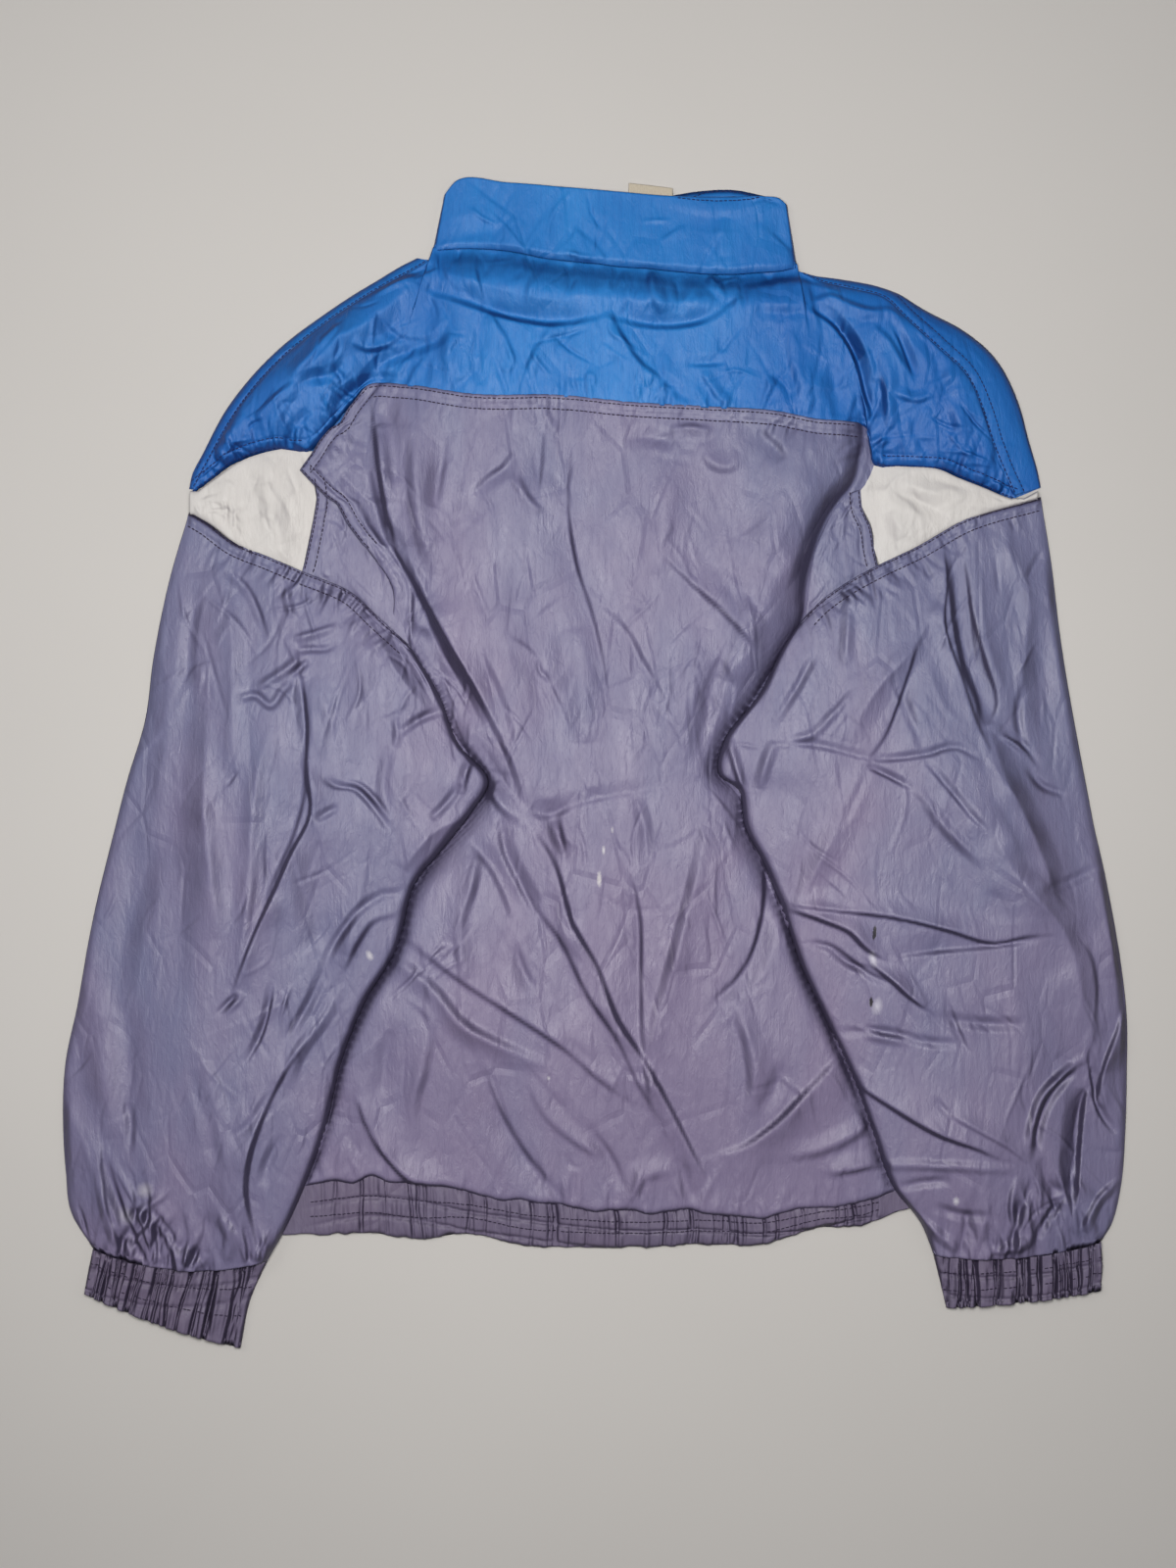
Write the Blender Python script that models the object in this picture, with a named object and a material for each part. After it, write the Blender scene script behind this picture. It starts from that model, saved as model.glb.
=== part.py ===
"""A track jacket laid out flat, back side up, with its sleeves down along its sides.

The tables are in millimetres, in plan from the middle of the laid-out jacket: +X to the right
of the view, +Y to the collar, +Z up from the surface that it lies on.
"""

import bmesh
import bpy
import numpy as np

MM = 0.001

# Cloth and layers
WALL = 1.2                  # thickness of the cloth with its facing
GAP = 0.3                   # between two pieces that meet
SEAM = 0.6                  # between the tables' edges at a seam, whose curves differ slightly
FLAT = 2 * WALL + GAP       # height of two layers lying on each other
BED = FLAT + GAP            # height at which a sleeve lies on the body
EDGE_INSET = 4.0            # from a folded edge to the first point on its flat
TURN = 1.8                  # from a folded edge to the inside of its fold
BED_SLOPE = (18.0, 60.0)    # past the body's side, where a sleeve starts down and reaches the surface

# Folds
STEEP = 0.5                 # width of a fold's steep side against its gentle one
FOLD_POINTS = 9
FOLD_FADE = 14.0            # width over which folds die out towards a seam or an edge

# Bands
HEM_ROWS = 4
HEM_GATHERS = 34
HEM_PUFF = 2.2
HEM_GATHER_DEPTH = 0.9
CUFF_ROWS = 4
CUFF_GATHERS = 13
CUFF_PUFF = 3.2
CUFF_GATHER_DEPTH = 1.1
COLLAR_ROWS = 5
COLLAR_PUFF = 4.6
COLLAR_OPEN = 2.6           # how far the two layers stand apart along the collar's top edge

# Zip at the front, under the jacket as it lies
ZIP_X = 9.0
ZIP_WIDTH = 10.0
ZIP_FOOT_Y = -309.0
SLIDER_FOOT_Y = 320.0
SLIDER = (9.0, 13.0, 2.2)

LABEL_X = (23.0, 54.0)
LABEL_Y = (384.0, 402.5)
LABEL_WALL = 1.0

# Colours: red, green, blue, roughness
BLUE = (0.05, 0.19, 0.52, 0.5)
LAVENDER = (0.24, 0.22, 0.35, 0.5)
WHITE = (0.66, 0.65, 0.63, 0.5)
BEIGE = (0.55, 0.49, 0.38, 0.8)
DARK = (0.05, 0.05, 0.07, 0.4)

# Side of the body under the sleeves: y, left x, right x
BODY_SIDES = (
    (208, -189, 177),
    (133, -189, 177),
    (83, -180, 180),
    (40, -205, 215),
    (-20, -235, 255),
    (-90, -250, 270),
    (-200, -252, 272),
    (-296, -229, 240),
)

# Back yoke with the backs of the shoulders: seam x, y; lower edge x, y; height at seam; puff
YOKE = (
    (-280, 191.5, -280, 188.5, 0.4, 0.5),
    (-266, 217, -268, 197.5, 2, 3),
    (-248, 247, -250, 210, 3, 8),
    (-221, 279, -224, 218, 3, 12),
    (-187, 307, -197, 219, 3, 13),
    (-168, 320, -184, 233, 3, 12),
    (-145, 334, -171, 249, 2.5, 10),
    (-123, 346, -157, 263, 2, 8),
    (-107, 356, -131, 262, 1, 7),
    (-82, 358, -89, 255, 0.5, 6),
    (-29, 351, -27, 254, 0.5, 6),
    (31, 346, 25, 249, 0.5, 6),
    (84, 341, 78, 246, 0.5, 6),
    (125, 343, 130, 242, 0.5, 7),
    (141, 343, 155, 237, 1, 9),
    (157, 335, 181, 231.5, 2, 10),
    (178, 331, 191, 219, 3, 11),
    (200, 325, 195, 208.5, 4, 10),
    (216, 310, 218, 206, 6, 9),
    (238, 289, 243, 204, 8, 9),
    (257, 271, 257, 198, 8, 8),
    (269, 246, 275, 191, 7, 6),
    (277, 222, 284, 187, 5, 3),
    (293, 186, 294, 183.3, 1.5, 0.5),
)

# Fronts of the shoulders and chest: seam x on the back; folded edge x, y; inner end x
FRONT_YOKE_RIGHT = (
    (144, 151, 340.3, 16),
    (170, 173, 337.5, 16),
    (196, 200, 332, 16),
    (208, 213, 327, 16),
    (218, 224, 320, 16),
    (239, 257, 302, 70),
    (258, 282, 279, 140),
    (270, 296, 250, 200),
    (278, 303, 224, 245),
    (286, 309, 203, 275),
    (292.5, 311, 192.5, 292),
)
FRONT_YOKE_LEFT = (
    (-117, -124, 352.5, 2),
    (-130, -135, 347, 2),
    (-146, -150, 338, 2),
    (-169, -173, 324, 2),
    (-188, -192, 311, 2),
    (-222, -227, 283, -80),
    (-249, -255, 250, -170),
    (-259, -265, 233, -222),
    (-265, -273, 217, -246),
    (-273, -281, 201, -266),
)
NECK_Y = 340.0              # foot of the neck opening at the zip
CHEST_Y = 209.0             # seam between the yoke and the fronts
ARMHOLE_X = (150.0, 194.0)  # where that seam turns up to the shoulder inserts

# Back panel: left side x, left visible edge x, y; right visible edge x, right side x, y;
# how far the left edge stands up as a flap
BACK = (
    (-156, -147, 261, 171, 180, 230, 0.3),
    (-184, -175, 226, 168, 177, 203, 0.8),
    (-197, -187, 204, 162, 171, 191, 1),
    (-191, -181, 192, 154, 163, 182, 1),
    (-178, -168, 178, 148, 157, 169, 1),
    (-159, -149, 150, 142, 151, 149, 0.8),
    (-140, -130, 119, 137, 145, 122, 0.5),
    (-129, -119, 90, 130, 138, 99, 0),
    (-152, -105, 58, 115, 160, 64, 0),
    (-204, -90, 22, 96, 210, 30, 0),
    (-222, -72, 0, 81, 238, 8, 0),
    (-236, -66, -14, 79, 254, -6, 0),
    (-244, -78, -33, 94, 262, -25, 0),
    (-248, -100, -61, 97, 268, -45, 0),
    (-249, -119, -86, 113, 270, -75, 0),
    (-250, -131, -127, 132, 271, -115, 0),
    (-250, -153, -167, 150, 271, -165, 0),
    (-250, -169, -207, 172, 269, -212, 0),
    (-243, -180, -253, 188, 260, -258, 0),
    (-229, -195, -290, 201, 240, -293, 0),
)
BACK_PUFF = 4.5

# Upper seam of each lower sleeve, from the outer edge: x, y
SLEEVE_SEAM_LEFT = ((-283, 175), (-271, 168), (-252, 154), (-226, 143), (-203, 133), (-167, 117),
                    (-150, 101), (-129, 82))
SLEEVE_SEAM_RIGHT = ((311, 185.5), (257, 169), (223, 150), (198, 138), (171, 123), (156, 112), (145, 101))
UNDER_SEAM = 4.0            # how much further down the sleeve's lower layer starts
SEAM_ROWS = 8               # rows of a sleeve over which its seam's shape dies out

# Insert on each shoulder: where its seams start and end
WHITE_LEFT_X = (-200.0, -282.5)
WHITE_RIGHT_X = (195.5, 286.0)
WHITE_SKEW = (-4.0, 3.0)    # from the upper to the lower end of its inner edge, left and right
WHITE_PUFF = 6.0

# Underarm insert on each side: left x, y; right x, y
GUSSET_LEFT = (
    (-201.5, 181, -185, 181),
    (-202.5, 165, -172, 165),
    (-203.5, 148, -160, 146),
    (-204.7, 134, -131.5, 86),
)
GUSSET_RIGHT = (
    (174, 190.5, 193.5, 190.5),
    (165, 179.5, 194.3, 178),
    (159, 165, 195.3, 160),
    (153, 148, 196.6, 147),
    (146.7, 103, 197.8, 139),
)
GUSSET_PUFF = 2.5

# Lower sleeves: outer x, y; inner x, y; bow of the section up the sleeve; puff
SLEEVE_LEFT = (
    (-283, 175, -129, 82, 0, 4),
    (-297, 127, -109, 49, 3, 9),
    (-308, 73, -95, 14, 2, 12),
    (-314, 29, -74, -12, 0, 13),
    (-326, -11, -85, -33, 0, 13),
    (-336, -50, -107, -61, 0, 13),
    (-346, -90, -126, -86, 0, 13),
    (-353, -123, -137, -127, 0, 13),
    (-361, -169, -160, -167, 0, 13),
    (-369, -207, -176, -207, 0, 13),
    (-371, -247, -187, -253, 0, 13),
    (-369, -285, -199, -287, -2, 12),
    (-364, -316, -216, -325, -6, 10),
    (-350, -338, -228, -346, -10, 7),
)
SLEEVE_RIGHT = (
    (311, 185.5, 145, 101, 0, 4),
    (318, 142, 131, 81, -3, 9),
    (324, 93, 114, 48, -2, 12),
    (330, 54, 90, 16, 0, 13),
    (337, 15, 86, -7, 0, 13),
    (344, -22, 101, -21, 0, 13),
    (348, -43, 104, -43, 0, 13),
    (354, -69, 117, -69, 0, 13),
    (361, -104, 131, -104, 0, 13),
    (367, -140, 143, -140, 0, 13),
    (371, -177, 160, -177, 0, 13),
    (371, -217, 178, -216, 0, 13),
    (370, -256, 193, -256, 0, 13),
    (367, -294, 207, -294, 2, 12),
    (360, -322, 228, -322, 4, 9),
    (353, -333, 236, -342, 6, 6),
)

# Elastic cuffs: outer x, y; inner x, y; bow
CUFF_LEFT = (
    (-350, -338.6, -228.2, -346.6, -10),
    (-353, -352, -240, -373, -6),
    (-356, -369, -247, -407, -3),
)
CUFF_RIGHT = (
    (353, -333.6, 236.2, -342.6, 6),
    (354, -350, 241, -362, 3),
    (353, -367, 245, -379, 2),
)

# Hem band: x; upper y; lower y; 0 where a sleeve lies on it, 1 where it shows
HEM = (
    (-229, -297, -328, 0),
    (-206, -293, -328, 0),
    (-190, -291, -328, 0.4),
    (-154, -288, -327, 1),
    (-124, -291, -331, 1),
    (-90, -298, -327, 1),
    (-48, -304, -336, 1),
    (-12, -309, -337, 1),
    (31, -312, -337, 1),
    (77, -311, -335, 1),
    (116, -314, -335, 1),
    (158, -309, -323, 1),
    (186, -303, -322, 1),
    (198, -300, -317, 0.4),
    (213, -297, -311, 0),
    (241, -294, -307, 0),
)

# Collar: lower x, y; upper x, y of the back; how far the front shows above it
COLLAR = (
    (-113, 357.5, -105, 396, 0),
    (-100, 359.5, -97, 405, 0),
    (-63, 358, -60, 404, 0),
    (-29, 351.5, -22, 401, 0),
    (12, 348.5, 14, 398, 0),
    (45, 344.5, 48, 395, 0.5),
    (70, 342, 72, 394, 5),
    (95, 341.5, 97, 394, 6),
    (118, 343.5, 117, 394.5, 1.5),
    (130, 344.5, 128, 393.5, 0),
    (141, 346, 134, 389, 0),
)

# Folds: start x, y; middle x, y; end x, y; height; width.
# The gentle side is on the left when going from start to end.
BACK_FOLDS = (
    (-156, 250, -143, 160, -105, 70, 7, 26),
    (-105, 75, -72, 30, -46, -28, 9, 28),
    (-18, 215, -14, 120, 9, 35, 5, 24),
    (46, 146, 80, 112, 116, 76, 5, 22),
    (-48, -30, 0, -26, 50, -15, 4, 24),
    (-49, -37, 5, -165, 80, -296, 9, 24),
    (-130, -120, -60, -170, 28, -236, 7, 26),
    (21, -70, 30, -130, 32, -195, 5, 20),
    (80, -40, 66, -110, 44, -185, 5, 22),
    (170, -202, 130, -250, 88, -272, 6, 24),
    (-80, -205, -50, -262, -20, -300, 5, 22),
)
YOKE_FOLDS = (
    (-117, 334, -70, 316, 0, 312, 4, 22),
    (-280, 200, -215, 268, -118, 332, 5, 24),
    (-180, 262, -140, 290, -100, 304, 4, 22),
    (8, 306, 24, 280, 45, 262, 3, 20),
    (150, 310, 182, 280, 186, 236, 5, 20),
    (150, 320, 195, 312, 220, 262, 4, 20),
    (206, 252, 232, 240, 262, 226, 3, 18),
)
SLEEVE_LEFT_FOLDS = (
    (-260, 140, -250, 60, -248, -6, 5, 26),
    (-268, 36, -270, -60, -262, -122, 5, 24),
    (-198, 36, -196, -50, -246, -150, 9, 30),
    (-154, 92, -120, 60, -114, 36, 5, 24),
    (-182, -10, -160, -24, -142, -48, 5, 24),
    (-88, -36, -125, -70, -186, -140, 5, 26),
    (-205, -196, -232, -245, -236, -320, 7, 26),
    (-342, -270, -338, -310, -328, -336, 5, 20),
    (-334, -280, -314, -310, -296, -346, 5, 18),
    (-350, -160, -346, -210, -350, -262, 4, 22),
)
SLEEVE_RIGHT_FOLDS = (
    (238, 110, 205, 50, 178, 20, 6, 26),
    (242, 148, 262, 30, 322, -104, 9, 30),
    (285, 148, 300, 90, 294, 44, 5, 24),
    (226, 4, 280, -50, 332, -140, 8, 28),
    (186, -4, 160, -60, 138, -98, 5, 24),
    (140, -98, 210, -106, 300, -120, 6, 24),
    (150, -110, 190, -126, 226, -166, 5, 22),
    (340, -190, 306, -230, 300, -268, 6, 24),
    (180, -222, 250, -262, 300, -278, 7, 26),
    (342, -216, 336, -260, 330, -304, 6, 22),
    (166, 8, 230, 8, 264, 6, 4, 20),
)


def through(table, count):
    """Read count evenly spaced rows along the smooth curve through a table's rows."""
    table = np.array(table, dtype=float)
    steps = np.linalg.norm(np.diff(table, axis=0), axis=1)
    knots = np.concatenate([[0.0], np.cumsum(steps)])
    slopes = np.gradient(table, knots, axis=0)
    at = np.linspace(0.0, knots[-1], count)
    low = np.clip(np.searchsorted(knots, at, side="right") - 1, 0, len(knots) - 2)
    span = (knots[low + 1] - knots[low])[:, None]
    t = (at - knots[low])[:, None] / span
    from_low = (2 * t**3 - 3 * t**2 + 1) * table[low] + (t**3 - 2 * t**2 + t) * span * slopes[low]
    from_high = (3 * t**2 - 2 * t**3) * table[low + 1] + (t**3 - t**2) * span * slopes[low + 1]
    return from_low + from_high


def lines(start, end, stations, bow=0.0):
    """Plan points from each start to its end; a bow bends the line to its left."""
    s = np.asarray(stations)[None, :, None]
    points = start[:, None, :] * (1 - s) + end[:, None, :] * s
    chord = end - start
    normal = np.stack([-chord[:, 1], chord[:, 0]], axis=1)
    normal /= np.linalg.norm(normal, axis=1)[:, None]
    bend = 4 * s * (1 - s) * np.reshape(bow, (-1, 1, 1))
    return points + bend * normal[:, None, :]


def smoothstep(low, high, value):
    t = np.clip((value - low) / (high - low), 0.0, 1.0)
    return t * t * (3 - 2 * t)


def dome(s, power=4):
    """1 across the middle and 0 at both ends."""
    return np.sqrt(np.clip(1 - np.abs(2 * np.asarray(s) - 1) ** power, 0.0, 1.0))


def fold_path(fold):
    """Points on the parabola through a fold's start, middle and end."""
    start, middle, end = np.array(fold[:6], dtype=float).reshape(3, 2)
    t = np.linspace(0.0, 1.0, FOLD_POINTS)[:, None]
    return start * (1 - t) * (1 - 2 * t) + middle * 4 * t * (1 - t) + end * t * (2 * t - 1)


def fold_height(plan, folds):
    """Height that folds add at plan points: gentle on one side of each ridge, steep on the other."""
    x, y = plan[..., 0], plan[..., 1]
    total = np.zeros(x.shape)
    for fold in folds:
        height, width = fold[6:8]
        path = fold_path(fold)
        nearest = np.full(x.shape, np.inf)
        along = np.zeros(x.shape)
        left = np.zeros(x.shape, dtype=bool)
        for k, (a, b) in enumerate(zip(path[:-1], path[1:])):
            edge = b - a
            t = np.clip(((x - a[0]) * edge[0] + (y - a[1]) * edge[1]) / edge.dot(edge), 0, 1)
            off_x = x - a[0] - t * edge[0]
            off_y = y - a[1] - t * edge[1]
            distance = np.hypot(off_x, off_y)
            closer = distance < nearest
            nearest = np.where(closer, distance, nearest)
            along = np.where(closer, (k + t) / (FOLD_POINTS - 1), along)
            left = np.where(closer, edge[0] * off_y > edge[1] * off_x, left)
        reach = nearest / np.where(left, width, width * STEEP)
        ridge = 0.5 + 0.5 * np.cos(np.pi * np.clip(reach, 0, 1))
        total += height * ridge * np.sqrt(np.sin(np.pi * np.clip(along, 0.01, 0.99)))
    return total


def bed(plan):
    """Height at which a sleeve lies: on the body, and past its side on the surface."""
    table = np.array(BODY_SIDES, dtype=float)[::-1]
    left = np.interp(plan[..., 1], table[:, 0], table[:, 1])
    right = np.interp(plan[..., 1], table[:, 0], table[:, 2])
    outside = np.maximum(left - plan[..., 0], plan[..., 0] - right)
    return BED * (1 - smoothstep(BED_SLOPE[0], BED_SLOPE[1], outside))


def fade(distance):
    return smoothstep(0.0, FOLD_FADE, distance)


def lengths(plan):
    """Distance along each row of plan points from its first point."""
    steps = np.linalg.norm(np.diff(plan, axis=1), axis=2)
    return np.concatenate([np.zeros((len(plan), 1)), np.cumsum(steps, axis=1)], axis=1)


def edge_fade(plan):
    """0 along all four sides of a grid of plan points, 1 away from them."""
    across = lengths(plan)
    down = lengths(np.swapaxes(plan, 0, 1)).T
    return (fade(across) * fade(across[:, -1:] - across)
            * fade(down) * fade(down[-1:, :] - down))


def material(name, colour):
    made = bpy.data.materials.new(name)
    made.use_nodes = True
    shader = made.node_tree.nodes["Principled BSDF"]
    shader.inputs["Base Color"].default_value = (*colour[:3], 1.0)
    shader.inputs["Roughness"].default_value = colour[3]
    shader.inputs["Metallic"].default_value = 0.0
    return made


def cloth(name, outer, inner, colour, wrap=False):
    """One wall of cloth between two grids of points; wrap joins the last column to the first."""
    rows, columns = outer.shape[:2]
    mesh = bmesh.new()
    sides = []
    for grid in (outer, inner):
        sides.append([[mesh.verts.new(point * MM) for point in row] for row in grid])
    out, back = sides

    def quad(a, b, c, d):
        mesh.faces.new((a, b, c))
        mesh.faces.new((a, c, d))

    for r in range(rows - 1):
        for c in range(columns if wrap else columns - 1):
            n = (c + 1) % columns
            quad(out[r][c], out[r][n], out[r + 1][n], out[r + 1][c])
            quad(back[r][c], back[r + 1][c], back[r + 1][n], back[r][n])
    for c in range(columns if wrap else columns - 1):
        n = (c + 1) % columns
        quad(out[0][n], out[0][c], back[0][c], back[0][n])
        quad(out[-1][c], out[-1][n], back[-1][n], back[-1][c])
    if not wrap:
        for r in range(rows - 1):
            quad(out[r][0], out[r + 1][0], back[r + 1][0], back[r][0])
            quad(out[r + 1][-1], out[r][-1], back[r][-1], back[r + 1][-1])
    bmesh.ops.recalc_face_normals(mesh, faces=mesh.faces)
    data = bpy.data.meshes.new(name)
    mesh.to_mesh(data)
    mesh.free()
    data.shade_smooth()
    data.materials.append(material(name + "_cloth", colour))
    piece = bpy.data.objects.new(name, data)
    bpy.context.collection.objects.link(piece)
    return piece


def with_height(plan, height):
    return np.concatenate([plan, height[..., None]], axis=-1)


def panel(name, plan, top, colour, wall=WALL):
    """An open panel of cloth whose upper side stands at the heights top."""
    cloth(name, with_height(plan, top), with_height(plan, top - wall), colour)


def stations(count, width):
    """Places across a flattened tube, from 0 to 1, with one close to each folded edge."""
    inset = EDGE_INSET / width
    return np.concatenate([[0.0], np.linspace(inset, 1 - inset, count - 2), [1.0]])


def flattened(plan, base, rise, under=None, thin=3):
    """Outer and inner loops of a tube of cloth pressed flat.

    Each row of plan runs from one folded edge to the other; base is the underside's height there
    and rise is how far the upper layer stands above the lower one. under gives the lower layer
    a plan of its own, and takes every thin-th point of it.
    """
    under = plan if under is None else under
    count = plan.shape[1]
    low = list(range(count - 2, 0, -1))
    low = low[:1] + low[thin:-1:thin] + low[-1:]
    top = base + FLAT + rise
    edge = base + FLAT / 2
    height = np.concatenate([edge[:, :1], top[:, 1:-1], edge[:, -1:], base[:, low]], axis=1)
    places = np.concatenate([plan, under[:, low]], axis=1)
    outer = with_height(places, height)
    inner = outer.copy()
    inner[:, 1:count - 1, 2] -= WALL
    inner[:, count:, 2] += WALL
    for at, to in ((0, 1), (count - 1, count - 2)):
        inward = plan[:, to] - plan[:, at]
        inward /= np.linalg.norm(inward, axis=1)[:, None]
        inner[:, at, :2] += TURN * inward
    return outer, inner


def build_yoke(collar_foot):
    """Back yoke and the backs of both shoulders; returns its upper and lower edges."""
    table = through(YOKE, 36)
    under_collar = (table[:, 0] > collar_foot[0, 0]) & (table[:, 0] < collar_foot[-1, 0])
    neck = along(collar_foot, table[:, 0]) - SEAM
    table[:, 1] = np.where(under_collar, neck, table[:, 1])
    s = np.linspace(0, 1, 8)
    plan = lines(table[:, 0:2], table[:, 2:4], s)
    top = FLAT + table[:, 4:5] * (1 - s) ** 2 + table[:, 5:6] * dome(s, 2)
    top = top + fold_height(plan, YOKE_FOLDS) * edge_fade(plan)
    panel("yoke_back", plan, top, BLUE)
    return with_height(table[:, 0:2], table[:, 4]), table[:, 2:4]


def along(curve, x):
    """Height in plan of a curve at x, for a curve that runs across the jacket."""
    order = np.argsort(curve[:, 0])
    return np.interp(x, curve[order, 0], curve[order, 1])


def build_front_yoke(name, table, shoulder_seam, yoke_foot, insert_x):
    """Shoulder and chest of one front, folded over the shoulder's edge to the seam on the back."""
    table = through(table, 24)
    seam = np.stack([table[:, 0], along(shoulder_seam, table[:, 0])], axis=1)
    lift = np.interp(table[:, 0], shoulder_seam[:, 0], shoulder_seam[:, 2])
    edge = table[:, 1:3]
    back = edge - seam
    back /= np.linalg.norm(back, axis=1)[:, None]
    seam = seam + 3 * SEAM * back
    corner_y = along(yoke_foot, insert_x)
    rise = np.minimum(along(yoke_foot, table[:, 3]), corner_y) - CHEST_Y
    foot = CHEST_Y + SEAM + rise * smoothstep(*ARMHOLE_X, abs(table[:, 3]))
    at_zip = np.flatnonzero(abs(table[:, 3]) < ZIP_X + ZIP_WIDTH)
    foot[at_zip] = np.linspace(NECK_Y, CHEST_Y, len(at_zip))
    inner_end = np.stack([table[:, 3], foot], axis=1)
    over = lines(seam, edge, (0, 0.3, 0.55, 1))
    run = inner_end - edge
    under_start = edge + run * (EDGE_INSET / np.linalg.norm(run, axis=1)[:, None])
    under = lines(under_start, inner_end, (0, 0.33, 0.67, 1))
    plan = np.concatenate([over, under], axis=1)
    one = np.ones_like(lift)
    heights = [FLAT + lift, FLAT + 0.85 * lift, FLAT + 0.45 * lift, FLAT / 2 * one]
    heights += [0 * one] * under.shape[1]
    outer = with_height(plan, np.stack(heights, axis=1))
    inner = outer.copy()
    inner[:, :3, 2] -= WALL
    inner[:, 4:, 2] += WALL
    inner[:, 3, :2] -= TURN * back
    cloth(name, outer, inner, BLUE)


def build_front(name, column, zip_edge):
    """Front panel, flat on the surface, from the chest seam to the hem band."""
    table = through(BODY_SIDES, 10)
    side = table[:, [column, 0]]
    middle = np.stack([np.full(len(table), zip_edge), table[:, 0]], axis=1)
    hem = np.array(HEM)
    plan = lines(side, middle, np.linspace(0, 1, 7))
    foot = np.interp(plan[-1, :, 0], hem[:, 0], hem[:, 1]) + 3 * SEAM
    drop = (plan[0, :, 1] - foot) / (plan[0, :, 1] - plan[-1, :, 1])
    plan[..., 1] = plan[:1, :, 1] - (plan[:1, :, 1] - plan[..., 1]) * drop
    panel(name, plan, np.full(plan.shape[:2], WALL), LAVENDER)


def build_back(yoke_foot):
    table = through(BACK, 32)
    hidden = np.array((0, 0.34, 0.67, 1))
    shown = np.linspace(0, 1, 20)[1:-1]
    y_left, y_right = table[:, 2], table[:, 5]
    spans = ((table[:, 0], table[:, 1], hidden),
             (table[:, 1], table[:, 3], shown),
             (table[:, 3], table[:, 4], hidden))
    x = np.concatenate([a[:, None] * (1 - s) + b[:, None] * s for a, b, s in spans], axis=1)
    share = np.clip((x - table[:, 1:2]) / (table[:, 3:4] - table[:, 1:2]), 0, 1)
    plan = np.stack([x, y_left[:, None] * (1 - share) + y_right[:, None] * share], axis=2)
    head = along(yoke_foot, plan[0, :, 0]) - SEAM
    plan[:, :, 1] += (head - plan[0, :, 1]) * np.linspace(1, 0, len(plan))[:, None] ** 6
    hem = np.array(HEM)
    plan[-1, :, 1] = np.interp(plan[-1, :, 0], hem[:, 0], hem[:, 1]) + SEAM
    flap = np.zeros(plan.shape[:2])
    flap[:, :4] = np.array((0, 2.5, 4, 5)) * table[:, 6:7]
    flap[:, 4:7] = np.array((4.5, 3, 1.2)) * table[:, 6:7]
    across = (x - table[:, 1:2]) / (table[:, 3:4] - table[:, 1:2])
    inside = (across > 0) & (across < 1)
    down = lengths(np.swapaxes(plan, 0, 1)).T
    ends = fade(down) * fade(down[-1:, :] - down)
    puff = BACK_PUFF * dome(np.clip(across, 0, 1), 2)
    folds = fold_height(plan, BACK_FOLDS) * fade(np.clip(x - table[:, 1:2], 0, None))
    folds *= fade(np.clip(table[:, 3:4] - x, 0, None))
    top = FLAT + flap + np.where(inside, puff + folds, 0.0) * ends
    panel("back_panel", plan, top, LAVENDER)


def build_white(name, ends, skew, yoke_foot, sleeve_seam):
    """Shoulder insert: one band folded round the outer edge of the sleeve."""
    upper_x = np.linspace(*ends, 10)
    lower_x = upper_x + np.linspace(skew, 0, 10)
    near = np.array([[-4.0], [0.0], [4.0]])
    upper = np.stack([upper_x, along(yoke_foot, upper_x + near).min(axis=0) - SEAM], axis=1)
    lower = np.stack([lower_x, along(sleeve_seam, lower_x + near).max(axis=0) + SEAM], axis=1)
    plan = np.swapaxes(lines(lower, upper, np.linspace(0, 1, 6)), 0, 1)
    across = lengths(plan)
    share = across / across[:, -1:]
    s = np.linspace(0, 1, plan.shape[0])[:, None]
    top = FLAT + WHITE_PUFF * dome(0.5 * share + 0.04, 3) * (0.45 + 0.55 * dome(s, 2))
    top[:, -1] = FLAT / 2
    base = plan[:, -2::-1]
    outward = plan[:, -1] - plan[:, -2]
    outward /= np.linalg.norm(outward, axis=1)[:, None]
    outer = np.concatenate([with_height(plan, top), with_height(base, np.zeros(base.shape[:2]))], axis=1)
    inner = outer.copy()
    turn = plan.shape[1] - 1
    inner[:, :turn, 2] -= WALL
    inner[:, turn + 1:, 2] += WALL
    inner[:, turn, :2] -= TURN * outward
    cloth(name, outer, inner, WHITE)


def build_gusset(name, table, sleeve_seam):
    table = through(table, 8)
    s = np.linspace(0, 1, 6)
    plan = lines(table[:, 0:2], table[:, 2:4], s)
    v = np.linspace(0, 1, len(table))[:, None]
    foot = along(sleeve_seam, plan[-1, :, 0]) + SEAM
    plan[..., 1] += (foot - plan[-1, :, 1]) * v
    top = FLAT + GUSSET_PUFF * dome(s, 2) * dome(v, 2)
    panel(name, plan, top, LAVENDER)


def build_sleeve(name, table, sleeve_seam, folds):
    """Lower sleeve: one tube pressed flat, from its upper seam to the cuff."""
    table = through(table, 23)
    width = np.linalg.norm(table[:, 2:4] - table[:, 0:2], axis=1).mean()
    s = stations(20, width)
    plan = lines(table[:, 0:2], table[:, 2:4], s, table[:, 4])
    shape = along(sleeve_seam, plan[0, :, 0]) - plan[0, :, 1]
    plan[..., 1] += shape * np.clip(1 - np.arange(len(table)) / SEAM_ROWS, 0, 1)[:, None]
    rise = table[:, 5:6] * dome(s) + fold_height(plan, folds) * edge_fade(plan)
    under = plan.copy()
    under[0, :, 1] -= UNDER_SEAM
    outer, inner = flattened(plan, bed(plan), rise, under)
    cloth(name, outer, inner, LAVENDER, wrap=True)


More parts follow.
